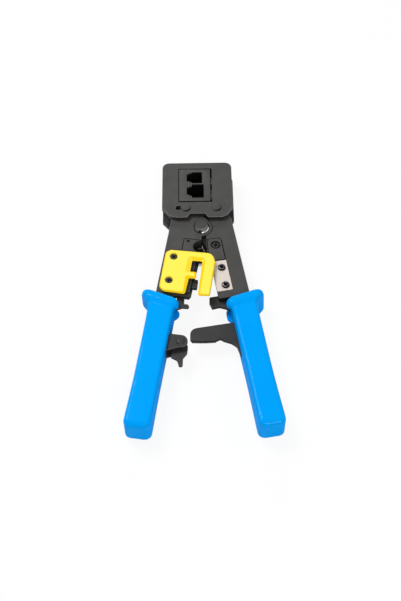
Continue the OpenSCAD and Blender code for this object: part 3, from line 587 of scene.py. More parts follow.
def add_bump(tree, shader, height, strength, distance):
    """Small unevenness of the surface from a height."""
    bump = tree.nodes.new("ShaderNodeBump")
    bump.inputs["Strength"].default_value = strength
    bump.inputs["Distance"].default_value = distance
    tree.links.new(height, bump.inputs["Height"])
    tree.links.new(bump.outputs[0], shader.inputs["Normal"])


def full(colour, factor=1.0):
    """A colour times a factor, with alpha."""
    return tuple(min(1.0, channel * factor) for channel in colour) + (1.0,)


def painted(name, colour, roughness, rub, grain=1400.0, metallic=0.0, bump=0.25, specular=0.25,
            rim_wear_and_painted_light=(0.42, 0.41, 0.39), wall_painted_shade_and_highlight=(0.006, 0.006, 0.006), painted_shade_below=None):
    """Blackened or painted steel: mottled colour and fine grain. Marked rims go over to the rim colour: a paler
    tone for rubbed edges, black as painted shade along seams and grooves and on slopes, grey as painted glints
    on screws. The upright sides go over to the wall colour: near black as painted shade on the plates, near
    white as painted highlights on the bolt. Below the given height, in a deep opening, the colour goes over to
    black as painted shade."""
    material, tree, shader, vector = material_start(name)
    mottle = add_group(tree, "Mottle", vector, {
        "Colour": full(colour), "Other Colour": full(colour, 1.45), "Roughness": roughness,
        "Broad Scale": 120.0, "Fine Scale": grain, "Colour Change": 0.55, "Roughness Change": 0.22})
    rim = tree.nodes.new("ShaderNodeAttribute")
    rim.attribute_name = "rim"
    edge = add_group(tree, "Edge Rub", vector, {
        "Rim": rim.outputs["Fac"], "Colour": mottle.outputs["Colour"], "Rubbed Colour": full(rim_wear_and_painted_light),
        "Amount": rub})
    painted_wall_light = tree.nodes.new("ShaderNodeAttribute")
    painted_wall_light.attribute_name = "wall"
    # Painted shade on the upright sides with a dark wall colour, painted highlights with a pale one.
    shade = calc(tree, "MULTIPLY", painted_wall_light.outputs["Fac"], 0.62)
    out = blend_colours(tree, shade, edge.outputs["Colour"], full(wall_painted_shade_and_highlight))
    # Painted shade: below the given height the colour goes over to near black.
    if painted_shade_below is not None:
        axes = tree.nodes.new("ShaderNodeSeparateXYZ")
        tree.links.new(vector, axes.inputs[0])
        under = calc(tree, "SUBTRACT", painted_shade_below, axes.outputs[2])
        depth = calc(tree, "MULTIPLY", under, 1400.0, clamp=True)
        out = blend_colours(tree, depth, out, full((0.004, 0.004, 0.004)))
    tree.links.new(out, shader.inputs["Base Color"])
    tree.links.new(mottle.outputs["Roughness"], shader.inputs["Roughness"])
    shader.inputs["Metallic"].default_value = metallic
    shader.inputs["Specular IOR Level"].default_value = specular
    add_bump(tree, shader, mottle.outputs["Height"], bump, 0.00004)
    return material


def ground(name, colour, roughness, stretch, turn=0.0, metallic=0.9, strength=0.55):
    """Ground steel with fine lines along one direction."""
    material, tree, shader, vector = material_start(name, stretch, turn)
    lines = add_group(tree, "Grinding", vector, {
        "Colour": full(colour), "Line Colour": full(colour, 0.72), "Roughness": roughness,
        "Strength": strength})
    tree.links.new(lines.outputs["Colour"], shader.inputs["Base Color"])
    tree.links.new(lines.outputs["Roughness"], shader.inputs["Roughness"])
    shader.inputs["Metallic"].default_value = metallic
    add_bump(tree, shader, lines.outputs["Height"], 0.2, 0.00002)
    return material


def moulded(name, colour, other, roughness, broad, fine, change, coat, coat_roughness, bump, specular,
            slope_shade=None):
    """Moulded or dipped plastic: an even colour with a slight wander, a soft skin and a clear gloss. The slope
    colour is painted shade: a deeper colour on the leaning faces."""
    material, tree, shader, vector = material_start(name)
    mottle = add_group(tree, "Mottle", vector, {
        "Colour": full(colour), "Other Colour": full(other), "Roughness": roughness,
        "Broad Scale": broad, "Fine Scale": fine, "Colour Change": change, "Roughness Change": 0.12})
    out = mottle.outputs["Colour"]
    if slope_shade is not None:
        # Painted shade on the marked slopes.
        slope_shade_mask = tree.nodes.new("ShaderNodeAttribute")
        slope_shade_mask.attribute_name = "rim"
        out = blend_colours(tree, slope_shade_mask.outputs["Fac"], out, full(slope_shade))
    tree.links.new(out, shader.inputs["Base Color"])
    tree.links.new(mottle.outputs["Roughness"], shader.inputs["Roughness"])
    shader.inputs["Specular IOR Level"].default_value = specular
    shader.inputs["Coat Weight"].default_value = coat
    shader.inputs["Coat Roughness"].default_value = coat_roughness
    add_bump(tree, shader, mottle.outputs["Height"], bump, 0.00003)
    return material


class CRIMPER_OT_finishes(bpy.types.Operator):
    """Builds the finishes and the node groups that they share"""
    bl_idname = "crimper.finishes"
    bl_label = "Finishes"

    def execute(self, context):
        c = context.scene.crimper_colours
        GROUPS.update({"Mottle": make_mottle(), "Edge Rub": make_rim_rub_and_painted_light(), "Grinding": make_grinding()})
        FINISHES.update({
            "plate": painted("satin_black_plate", c.plate, 0.46, 0.5),
            # Painted shade: the right lever's front plate goes black below the lap's height, in the slit between
            # the levers.
            "lapped": painted("lapped_plate", c.plate, 0.46, 0.5, painted_shade_below=MID + 4.7 * MM),
            # The sunk screws' paler rim colour is a painted glint on a ring of each head.
            "sunk": painted("sunk_black_oxide", tuple(0.6 * v for v in c.fastener), 0.34, 1.0, metallic=0.6,
                            rim_wear_and_painted_light=(0.16, 0.16, 0.16)),
            # Black rims as painted shade along the seams of the backing and cover plates and on the pins' front.
            "seamed": painted("seamed_plate", c.plate, 0.46, 1.6, rim_wear_and_painted_light=(0.004, 0.004, 0.004)),
            # Black rims as painted shade along the die's seam, and near black below its top as painted shade in
            # the openings.
            "die": painted("die_plate", c.plate, 0.46, 1.6, rim_wear_and_painted_light=(0.004, 0.004, 0.004),
                           painted_shade_below=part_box("die_block")[1].z - 0.6 * MM),
            "dark": painted("dark_steel", c.dark, 0.40, 0.25),
            # The pan heads' pale rim colour is a painted glint on a ring of each head.
            "fastener": painted("black_oxide", tuple(1.5 * v for v in c.fastener), 0.28, 1.1, metallic=1.0,
                                rim_wear_and_painted_light=(0.42, 0.42, 0.42)),
            # Black rims as painted shade round the bolt's hexagon, and a near white wall colour for its painted
            # highlights.
            "bolt": painted("bright_bolt", (0.075, 0.074, 0.072), 0.26, 1.6, metallic=0.4,
                            rim_wear_and_painted_light=(0.004, 0.004, 0.004), wall_painted_shade_and_highlight=(0.95, 0.94, 0.92)),
            "steel": ground("tool_steel", c.steel, 0.36, (900, 60, 400)),
            "blade": ground("blade_steel", c.blade, 0.5, (1500, 160, 700), turn=-LEVER_TILT, metallic=0.1),
            "spring": ground("spring_wire", c.spring, 0.35, (700, 700, 300)),
            "grip": moulded("blue_vinyl", c.grip, tuple(0.88 * v for v in c.grip), 0.42, 45.0, 900.0, 0.5,
                            0.12, 0.12, 0.05, 0.0),
            # The guard's deeper orange is painted shade on its slopes.
            "guard": moulded("yellow_plastic", c.guard, (c.guard[0], c.guard[1] * 0.95, c.guard[2]), 0.40,
                             70.0, 1100.0, 0.5, 0.10, 0.2, 0.05, 0.2, (1.0, 0.66, 0.0)),
        })
        return {"FINISHED"}


# ---------------------------------------------------------------- plates

PLATE_NODES = (
    "head_body", "die_block", "right_lever_front_plate", "right_lever_rear_plate",
    "left_lever_front_plate", "left_lever_rear_plate", "blade_backing_plate", "anvil_cover_plate")
DARK_NODES = (
    "head_rear_plate", "cutter_anvil", "right_stripper_block", "left_stripper_hook", "ratchet_arm",
    "pawl_bracket", "pawl")


class CRIMPER_OT_plates(bpy.types.Operator):
    """Rounds the edges of the steel plates and gives them their satin black"""
    bl_idname = "crimper.plates"
    bl_label = "Plates"

    def execute(self, context):
        width = context.scene.crimper_sizes.plate_edge
        low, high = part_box("die_block")

        def outside_window(point):
            return not (low.x - MM < point.x < high.x + 2 * MM and low.y - MM < point.y)

        def outer_side(point):
            return abs(point.x) * math.cos(LEVER_TILT) - abs(point.y) * math.sin(LEVER_TILT) > 16 * MM

        def outer_rim(point):
            return (min(point.x - low.x, high.x - point.x, point.y - low.y, high.y - point.y) < 0.1 * MM
                    and point.z > high.z - 0.1 * MM)

        for node in PLATE_NODES:
            worn = outer_side
            if node.startswith("head"):
                worn = outside_window
            if node == "die_block":
                # The die's outer rim is painted black as painted shade along its seam.
                place(softened(node, 1.7 * width, where=outer_rim), FINISHES["die"], node)
            elif node in ("blade_backing_plate", "anvil_cover_plate"):
                # Black rims as painted shade along the seams.
                place(softened(node, 2.7 * width), FINISHES["seamed"], node)
            else:
                # The right lever's front plate takes the finish with painted shade below the lap.
                finish = FINISHES["lapped" if node == "right_lever_front_plate" else "plate"]
                place(softened(node, width, worn=worn), finish, node)
        for node in DARK_NODES:
            fine = 0.3 if node == "ratchet_arm" else 0.8
            place(softened(node, width * fine), FINISHES["dark"], node)
        return {"FINISHED"}


class CRIMPER_OT_inner(bpy.types.Operator):
    """Gives the ram, its punches and the inner pieces their finishes"""
    bl_idname = "crimper.inner"
    bl_label = "Ram and inner pieces"

    def execute(self, context):
        kinds = {
            "dark": ("punch_holder",),
            "steel": ("ram_plate", "holder_pins", "contact_punch_8p", "contact_punch_6p",
                      "relief_punches", "trim_blade", "pivot_bush", "right_lever_rivets", "left_lever_rivets",
                      "left_lever_spacers", "left_spring_peg", "right_spring_peg"),
            "fastener": ("trim_blade_screws",)}
        for finish, nodes in kinds.items():
            for node in nodes:
                NODES[node].data.materials.clear()
                NODES[node].data.materials.append(FINISHES[finish])
        return {"FINISHED"}


# ---------------------------------------------------------------- pivot, pins and screws

def hexagon(angle, flat):
    """Distance from the middle to a hexagon's side: half its width over the cosine of the angle from the
    side's own middle. The first corner lies on +X."""
    return flat / np.cos((angle % (math.pi / 3)) - math.pi / 6)


def hex_head(flat, low, high, chamfer, flange_r, flange_low, shank_r, end):
    """Profile rows of a flanged hexagon head, and the function that turns their radii into the hexagon.
    Near the top the radius is the smaller of the hexagon's and a cone's."""
    corner = flat / math.cos(math.pi / 6)
    face = flat * 0.93
    levels = np.linspace(0, 1, 6)
    rows = [(face * 0.5, high), (face, high)]
    rows += [(corner + 1e-5, high - chamfer * t) for t in levels[1:]]
    rows += [(corner + 1e-5, low + (high - chamfer - low) * t) for t in (0.5, 0.0)]
    hexed = list(range(2, len(rows)))
    rows += [(flange_r - 0.0009, low - 0.0001), (flange_r - 0.0003, low - 0.00025), (flange_r, low - 0.0005),
             (flange_r, flange_low), (shank_r, flange_low), (shank_r, end)]

    def shape(radius, table, angle):
        out = radius.copy()
        side = hexagon(angle, flat)
        drop = (high - table[hexed, 1])[:, None]
        cone = face + drop * (corner - face) / chamfer
        out[hexed] = np.minimum(side[None, :], np.maximum(cone, face))
        return out

    return rows, shape


class CRIMPER_OT_pivot(bpy.types.Operator):
    """Builds the pivot's flanged bolt and its nut"""
    bl_idname = "crimper.pivot"
    bl_label = "Pivot bolt and nut"

    def execute(self, context):
        low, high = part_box("pivot_bolt")
        nut_low, nut_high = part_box("pivot_nut")
        flat = 4.3 * MM * math.cos(math.pi / 6)
        hex_low = high.z - 2.6 * MM
        rows, shape = hex_head(flat, hex_low, high.z, 0.55 * MM, high.x, hex_low - 0.9 * MM, 3.0 * MM, low.z)
        bolt = turned("pivot_bolt_turned", (0, 0), rows, 96, 24, shape)
        # Painted light on the bolt: the groove round the hexagon is black, a black washer with painted shade in
        # it; the flange away from the front right is darkened as painted shade; the hexagon's faces that look to
        # -Y and a crescent of the flange at the front right are paled as painted highlights.
        centres = face_centres(bolt.data)
        radii = np.hypot(centres[:, 0], centres[:, 1])
        side = np.abs(np.degrees(np.arctan2(centres[:, 1], centres[:, 0])) + 48)
        flange = centres[:, 2] < hex_low + 0.2 * MM
        washer_and_painted_shade = flange & (radii < 4.45 * MM)
        set_marks(bolt.data, np.where(washer_and_painted_shade, 1.0, np.where(flange & (side > 45), 0.85, 0.0)))
        normals = face_rows(bolt.data, "normal")
        painted_facet_highlight = ~flange & (centres[:, 2] < high.z - 0.3 * MM) & (normals[:, 1] < -0.3)
        painted_crescent_highlight = flange & ~washer_and_painted_shade & (side < 40)
        set_marks(bolt.data, np.where(painted_facet_highlight, 0.6, 0.0) + painted_crescent_highlight * 1.3, "wall")
        place(bolt, FINISHES["bolt"], "pivot_bolt")
        nut_flat = 4.4 * MM * math.cos(math.pi / 6)
        nut = turned_nut(nut_flat, nut_low.z, nut_high.z, nut_high.x, 3.02 * MM)
        place(nut, FINISHES["fastener"], "pivot_nut")
        return {"FINISHED"}


def turned_nut(flat, low, high, flange_r, bore_r):
    """A flanged nut that faces down: the rows run from the bore's top, over the flange and the hexagon's
    sides and chamfer, and back up the bore."""
    corner = flat / math.cos(math.pi / 6)
    face = flat * 0.93
    chamfer = 0.5 * MM
    flange_low = high - 0.9 * MM
    rows = [(bore_r, high), (flange_r, high), (flange_r, high - 0.4 * MM),
            (flange_r - 0.3 * MM, high - 0.7 * MM),
            (flange_r - 0.8 * MM, flange_low)]
    first = len(rows)
    rows += [(corner, flange_low), (corner, low + chamfer)]
    rows += [(corner, low + chamfer * (1 - t)) for t in np.linspace(0.25, 1, 4)]
    hexed = list(range(first, len(rows)))
    rows += [(bore_r + 0.3 * MM, low), (bore_r, low + 0.3 * MM)]

    def shape(radius, table, angle):
        out = radius.copy()
        cone = face + (table[hexed, 1] - low)[:, None] * (corner - face) / chamfer
        out[hexed] = np.minimum(hexagon(angle, flat)[None, :], np.maximum(cone, face))
        return out

    rows = np.array(rows)
    angle = np.linspace(0, 2 * np.pi, 96, endpoint=False)
    radius = shape(np.repeat(rows[:, :1], 96, axis=1), rows, angle)
    height = np.repeat(rows[:, 1:2], 96, axis=1)
    grid = np.stack([radius * np.cos(angle), radius * np.sin(angle), height], axis=2)
    return skin("pivot_nut_turned", grid, closed_rows=True, sharp=24)


def domed_pin(name, centre, shank, half, head_r, head_h):
    """A pin with a low domed head at each end. The dome's height falls as the fourth power of the radius,
    and a straight slope leads from it to the plate."""
    t = np.linspace(0, 1, 9)
    inner = head_r * 0.74
    dome_r = inner * np.sin(t * math.pi / 2)
    dome_z = half + head_h * (1 - (dome_r / inner) ** 4 * 0.12)
    top = np.stack([dome_r[1:], dome_z[1:]], axis=1)
    edge = np.array([[head_r, half + 0.02 * MM], [head_r, half], [shank, half], [shank, 0]])
    upper = np.vstack([top, edge])
    lower = upper[::-1][1:] * [1, -1]
    rows = np.vstack([upper, lower])
    rows[:, 1] += MID
    return turned(name, centre, rows, 48, 40)


class CRIMPER_OT_pins(bpy.types.Operator):
    """Builds the two head pins and the pawl's pin with their domed heads"""
    bl_idname = "crimper.pins"
    bl_label = "Pins"

    def execute(self, context):
        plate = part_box("head_body")[1].z - MID
        for node, shank in (("right_head_pin", 3.0 * MM), ("left_slide_pin", 1.8 * MM)):
            low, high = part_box(node)
            middle = (low + high) / 2
            seat = plate + (0.1 * MM if node == "left_slide_pin" else 0)
            piece = domed_pin(node + "_domed", middle, shank, seat, (high.x - low.x) / 2, high.z - MID - seat)
            # Painted shade: the head's slopes are marked black, strongest on the front side towards -Y.
            mark_slopes(piece.data, 0.93, 0.985)
            painted_slope_shade = np.empty(len(piece.data.polygons))
            piece.data.attributes["rim"].data.foreach_get("value", painted_slope_shade)
            front = np.clip((middle.y - face_centres(piece.data)[:, 1]) / (2 * MM), 0, 1)
            set_marks(piece.data, painted_slope_shade * (0.15 + 0.85 * front))
            place(piece, FINISHES["seamed"], node)
        low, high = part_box("pawl_pin")
        middle = (low + high) / 2
        piece = domed_pin("pawl_pin_domed", middle, 1.5 * MM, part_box("pawl_bracket")[1].z - MID,
                          (high.x - low.x) / 2, high.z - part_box("pawl_bracket")[1].z)
        place(piece, FINISHES["dark"], "pawl_pin")
        return {"FINISHED"}


def cross_radius(angle, arm, width):
    """Outline of a plus sign as a radius: the larger of the two arms, each the smaller of arm over cosine and
    width over sine."""
    c, s = np.abs(np.cos(angle)) + 1e-9, np.abs(np.sin(angle)) + 1e-9
    return np.maximum(np.minimum(arm / c, width / s), np.minimum(arm / s, width / c))


def cross_screw(centre, low, high, head_r, shank_r, head_h, dome, under, turn, up=1):
    """One screw as rows of a grid, from the recess's floor out over the head and down the shank. The first
    rows follow the cross, and the rest are round."""
    columns = 96
    angle = np.linspace(0, 2 * np.pi, columns, endpoint=False)
    cross = cross_radius(angle, head_r * 0.58, head_r * 0.13)
    depth = min(head_h * 0.75, head_r * 0.45)
    inner = head_r * 0.66
    rows = [(cross * 0.25, high - depth), (cross * 0.8, high - depth), (cross, high - dome * 0.02)]
    rows += [(np.full(columns, inner), high - dome * 0.05)]
    for t in np.linspace(0.2, 1, 6):
        radius = inner + (head_r - inner) * math.sin(t * math.pi / 2)
        rows.append((np.full(columns, radius), high - dome * (1 - math.cos(t * math.pi / 2))))
    rows += [(np.full(columns, head_r), high - head_h), (np.full(columns, shank_r), high - head_h - under),
             (np.full(columns, shank_r), low)]
    radius = np.array([row[0] for row in rows])
    height = np.array([row[1] for row in rows])
    if up < 0:
        height = low + high - height
    return np.stack([centre[0] + radius * np.cos(angle + turn), centre[1] + radius * np.sin(angle + turn),
                     np.repeat(height[:, None], columns, axis=1)], axis=2)


def joined(name, pieces):
    """Several objects made one mesh, in one object of that name."""
    work = bmesh.new()
    for piece in pieces:
        work.from_mesh(piece.data)
    mesh = bpy.data.meshes.new(name)
    work.to_mesh(mesh)
    work.free()
    for piece in pieces:
        bpy.data.objects.remove(piece)
    return finished(name, mesh, 30)


class CRIMPER_OT_screws(bpy.types.Operator):
    """Builds every cross-headed screw: pan heads on the blade, sunk heads elsewhere"""
    bl_idname = "crimper.screws"
    bl_label = "Screws"

    def execute(self, context):
        # node, shank radius, head height, dome, cone under the head, side that the head faces
        kinds = (
            ("cutter_blade_screws", 1.4, 1.25, 0.75, 0.0, 1),
            ("guard_screws", 1.3, 0.35, 0.15, 1.1, 1),
            ("backing_plate_screw", 1.4, 0.35, 0.15, 1.1, 1),
            ("head_screws", 0.9, 0.3, 0.1, 0.8, -1),
            ("die_screws", 0.9, 0.3, 0.1, 0.8, -1))
        for node, shank, head_h, dome, under, up in kinds:
            made = []
            for number, (low, high) in enumerate(solid_boxes(node)):
                centre = (low + high) / 2
                head_r = (high[0] - low[0]) / 2
                grid = cross_screw(centre, low[2], high[2], head_r, shank * MM, head_h * MM, dome * MM,
                                   under * MM, 0.5 + number * 0.9, up)
                made.append(skin(f"{node}_{number}", grid))
            finish = FINISHES["fastener" if under == 0 else "sunk"]
            piece = joined(node + "_cross", made)
            # Painted glints: a ring on each head, between half and four fifths of its radius, takes the paler rim
            # colour.
            mark_rings(piece.data, solid_boxes(node), 0.5, 0.8)
            place(piece, finish, node)
        return {"FINISHED"}


# ---------------------------------------------------------------- blade and guard

class CRIMPER_OT_blade(bpy.types.Operator):
    """Gives the cutter blade softened edges and its ground face"""
    bl_idname = "crimper.blade"
    bl_label = "Cutter blade"

    def execute(self, context):
        place(softened("cutter_blade", 0.00008, 2), FINISHES["blade"], "cutter_blade")
        return {"FINISHED"}


GUARD_SCREWS = ((-13.4, -29.5), (-13.4, -48.1))


def guard_outlines(edge, slope):
    """The guard's lower and top outlines in the left lever's frame, with as many points each. Every corner
    has its x, y and radius below, how far the top's corner lies from it, and the top's radius. Both
    outlines go round the same corners, so their points pair off."""
    e, w = edge / MM, slope / MM
    corners = np.array([
        (-19.15, -24.3, 4.2, e, -e, 3.4), (-18.75, -56.6, 5.0, e, e, 4.0), (-1.95, -57.0, 1.7, -1.4, e, 1.4),
        (-1.35, -44.5, 0.5, -0.75 * w, 0.45 * w, 0.9), (3.2, -44.4, 0.8, -0.42 * w, 0.42 * w, 0.5),
        (2.8, -39.2, 0.8, -0.42 * w, -0.42 * w, 0.5), (-1.35, -39.2, 0.5, -w, -0.42 * w, 0.9),
        (-1.35, -30.5, 1.0, -w, 0.85 * w, 1.7), (5.15, -30.5, 1.0, 0.65 * w, 0.85 * w, 1.9),
        (6.15, -57.0, 1.3, 1.4, e, 0.9), (13.65, -56.4, 1.3, -e, e, 0.9), (13.45, -29.5, 4.0, -e, 0, 3.0),
        (10.45, -23.3, 5.0, -0.3 * e, -e, 4.0)])
    below = rounded_outline(corners[:, :3], 10) * MM
    top = rounded_outline(np.column_stack([corners[:, :2] + corners[:, 3:5], corners[:, 5]]), 10) * MM
    slot = np.repeat((np.hypot(corners[:, 3], corners[:, 4]) > 1.6 * e).astype(float), 11)
    return below, top, slot


def guard_rows(edge, slope):
    """The guard's upper part as rows of its outline. From the bottom the rows rise straight, then go over
    to the top outline along a quarter of an ellipse, or along a straight slope beside the slot."""
    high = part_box("blade_guard")[1].z
    below, top, slot = guard_outlines(edge, slope)
    under = high - 1.3 * MM
    fall = np.minimum(edge + (1.0 * MM - edge) * slot, 1.0 * MM)
    normal = outline_normals(below)
    rows = [np.column_stack([below - normal * 0.25 * MM, np.full(len(below), under)])]
    for a in np.linspace(0, math.pi / 2, 8):
        straight = a / (math.pi / 2)
        inward = (1 - math.cos(a)) * (1 - slot) + straight * slot
        drop = (1 - math.sin(a)) * (1 - slot) + (1 - straight) * slot
        rows.append(np.column_stack([below + (top - below) * inward[:, None], high - fall * drop]))
    return np.array(rows)


def capped(name, grid, sharp=32.0):
    """A skin over a grid whose first and last rows are each closed by one flat face of many sides."""
    rows, columns = grid.shape[:2]
    index = np.arange(rows * columns).reshape(rows, columns)
    here, below = index[:-1], index[1:]
    quads = np.stack([here, np.roll(here, -1, axis=1), np.roll(below, -1, axis=1), below], axis=2)
    quads = quads.reshape(-1, 4)
    mesh = bpy.data.meshes.new(name)
    ends = [index[0].tolist(), index[-1].tolist()]
    mesh.from_pydata(grid.reshape(-1, 3).tolist(), [], quads.tolist() + ends)
    outward(mesh)
    return finished(name, mesh, sharp)


def prism(name, corners, low, high, angle, edge=0.0):
    """An upright block with the corners' rounded outline, in millimetres, turned by the lever's angle."""
    ring = rounded_outline(corners, 8) * MM
    inset = ring - outline_normals(ring) * edge
    rows = [np.column_stack([inset, np.full(len(ring), low)]),
            np.column_stack([ring, np.full(len(ring), low + edge)]),
            np.column_stack([ring, np.full(len(ring), high)])]
    return capped(name, rotated(np.array(rows), angle))


class CRIMPER_OT_guard(bpy.types.Operator):
    """Builds the moulded guard over the cutter, with its sloped slot, foot and screw recesses"""
    bl_idname = "crimper.guard"
    bl_label = "Guard"

    def execute(self, context):
        sizes = context.scene.crimper_sizes
        low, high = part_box("blade_guard")
        rows = rotated(guard_rows(sizes.guard_edge, sizes.guard_slope), -LEVER_TILT)
        upper = capped("guard_upper", rows, 40)
        foot = prism("guard_foot", [(-19.1, -24.4, 4), (-18.7, -54.8, 4), (-2.6, -54.8, 1), (-2.6, -24.4, 1)],
                     low.z, high.z - 1.2 * MM, -LEVER_TILT)
        for number, (x, y) in enumerate(GUARD_SCREWS):
            centre = rotated(np.array([x, y, 0.0]) * MM, -LEVER_TILT)
            recess = turned(f"recess_{number}", centre,
                            [(2.6 * MM, high.z - 0.6 * MM), (2.6 * MM, high.z - 0.25 * MM),
                             (2.9 * MM, high.z + 0.2 * MM)], 40)
            bore = turned(f"bore_{number}", centre, [(1.35 * MM, low.z - MM), (1.35 * MM, high.z)], 24)
            apply_cut(upper, recess)
            apply_cut(upper, bore)
            foot_rows = [(1.35 * MM, low.z - MM), (1.35 * MM, high.z)]
            foot_bore = turned(f"foot_bore_{number}", centre, foot_rows, 24)
            apply_cut(foot, foot_bore)
        guard = joined("guard_moulded", [upper, foot])
        guard.data.set_sharp_from_angle(angle=math.radians(34))
        # The leaning faces are marked for the painted slope shade.
        mark_slopes(guard.data, 0.93, 0.985)
        place(flat_shaded(guard), FINISHES["guard"], "blade_guard")
        return {"FINISHED"}


# ---------------------------------------------------------------- grips

def rounded_section(inner, outer, half, radius, steps=9):
    """Rows of rounded rectangles. Each corner's arc has its centre one radius inside both sides, and the
    arcs are joined by the sides. inner, outer, half and radius are columns with one value a row."""
    quarter = np.pi / 2
    angle = np.concatenate([np.linspace(k * quarter, (k + 1) * quarter, steps) for k in range(4)])[None, :]
    across = np.repeat([1, -1, -1, 1], steps)[None, :]
    upright = np.repeat([1, 1, -1, -1], steps)[None, :]
    middle, reach = (inner + outer) / 2, (outer - inner) / 2
    x = middle + across * (reach - radius) + radius * np.cos(angle)
    z = upright * (half - radius) + radius * np.sin(angle)
    return x, z


def grip_rows(rim_round, body_half):
    """Rows of a grip's sleeve, in millimetres: the distance from the pivot, the inner and outer edge, half
    the thickness and the corner radius. They run from the sleeve's bottom out of its mouth, round the rim
    along a quarter circle, over the rim, down to the body along a curve that starts and ends level, along
    the body and round the end."""
    mouth = (9.4, 20.75, 5.45, 0.6)
    rows = [(139.0,) + mouth, (100.0,) + mouth, (58.0,) + mouth, (57.1, 9.1, 21.1, 5.75, 0.7)]
    r = rim_round / MM
    front = 56.9
    for a in np.linspace(0, math.pi / 2, 7):
        inset = r * (1 - math.sin(a))
        rows.append((front + r * (1 - math.cos(a)), 4.6 + inset, 28.8 - 1.5 * inset, 9.4 - inset,
                     4.4 - 0.3 * inset))
    half = body_half / MM
    for t in np.linspace(0.0, 1.0, 14):
        fall = t * t * (3 - 2 * t)
        rows.append((61.4 + 5.0 * t, 4.5 + 2.6 * fall, 29.0 - 5.4 * fall, 9.4 - (9.85 - half) * fall,
                     4.5 - 2.0 * fall))
    rows += [(68.0, 7.1, 23.5, half - 0.42, 2.5), (70.5, 7.1, 23.4, half - 0.25, 2.5),
             (76, 7.15, 23.1, half, 2.4), (88, 7.25, 22.95, half, 2.4),
             (103, 7.35, 22.8, half, 2.4), (118, 7.4, 22.7, half, 2.4), (133, 7.3, 22.9, half + 0.1, 2.4),
             (142, 7.2, 23.1, half + 0.4, 2.5), (146.9, 7.2, 23.15, half + 0.6, 2.6)]
    for a in np.linspace(0.2, math.pi / 2, 8):
        inset = 1 - math.cos(a)
        rows.append((147.0 + 4.5 * math.sin(a), 7.2 + 4.2 * inset, 23.15 - 3.3 * inset,
                     half + 0.6 - 3.4 * inset,
                     2.6 - 0.9 * inset))
    return np.array(rows)


def grip_grid(side, rim_round, body_half):
    """A grip's rows carried round its sections. The front is slanted: a point's distance from the pivot
    changes in proportion to its place across the lever, and the slant fades out behind the rim. The rim's
    lower side reaches farther back, in proportion to its depth, and more on the right grip."""
    rows = grip_rows(rim_round, body_half)
    x, z = rounded_section(rows[:, 1:2], rows[:, 2:3], rows[:, 3:4], rows[:, 4:5])
    slant = np.clip((82 - rows[:, 0:1]) / 18, 0, 1) * (2.6 - (0.18 if side > 0 else 0.24) * (x - 7))
    inside = np.arange(len(rows))[:, None] < 2
    droop = (2.4 if side > 0 else -0.4) * np.interp(rows[:, 0:1], (58, 61.5, 67, 74), (0, 1, 1, 0))
    y = -(rows[:, 0:1] + np.where(inside, 0, slant + droop * np.clip(-z / 6, 0, 1)))
    grid = np.stack([side * x * MM, y * MM, MID + z * MM], axis=2)
    return rotated(grid, side * LEVER_TILT)


class CRIMPER_OT_grips(bpy.types.Operator):
    """Builds the two dipped grips as sleeves with a rounded rim"""
    bl_idname = "crimper.grips"
    bl_label = "Grips"

    def execute(self, context):
        sizes = context.scene.crimper_sizes
        slots = {
            1: [((2, -73, -5.6), (7.3, -55, 5.6)), ((2, -99, -1.6), (10, -73.4, 1.6))],
            -1: [((-7.3, -73, -5.6), (-2, -55, 5.6)), ((-10, -88, -2.2), (-2, -72.4, 2.2)),
                 ((-10, -97.3, -4.9), (-2, -84.0, 4.9))]}
        for side, node in ((1, "right_grip"), (-1, "left_grip")):
            grip = skin(node + "_sleeve", grip_grid(side, sizes.rim_round, sizes.grip_half), sharp=38)
            boxes = [(np.array(a) * MM + [0, 0, MID], np.array(b) * MM + [0, 0, MID]) for a, b in slots[side]]
            cut_with(grip, boxes, side * LEVER_TILT)
            grip.data.shade_smooth()
            grip.data.set_sharp_from_angle(angle=math.radians(38))
            flat_shaded(grip)
            place(grip, FINISHES["grip"], node)
        return {"FINISHED"}


# ---------------------------------------------------------------- springs

def coil_path(centre, radius, low, high, turns, first_way, last_way, first_leg, last_leg):
    """A torsion spring's centre line: a straight leg, turns that climb evenly round the centre, and a
    second leg. Each leg lies along its given direction and touches the coil a quarter turn beside it."""
    start = first_way + math.pi / 2
    end = last_way - math.pi / 2
    total = (end - start) % (2 * math.pi) + 2 * math.pi * turns
    t = np.linspace(0, 1, 40 * (turns + 1))
    angle = start + total * t
    coil = np.stack([centre[0] + radius * np.cos(angle), centre[1] + radius * np.sin(angle),
                     low + (high - low) * t], axis=1)
    far = np.linspace(1, 0, 12, endpoint=False)[:, None]
    first = coil[0] + far * first_leg * np.array([[math.cos(first_way), math.sin(first_way), 0]])
    last = coil[-1] + far[::-1] * last_leg * np.array([[math.cos(last_way), math.sin(last_way), 0]])
    return np.vstack([first, coil, last])


SPRING_MIDDLE = (-0.001, -0.0165)
SPRING_LEGS = (math.radians(222), math.radians(-42))
PAWL_PIVOT = (0.34, -88.6)


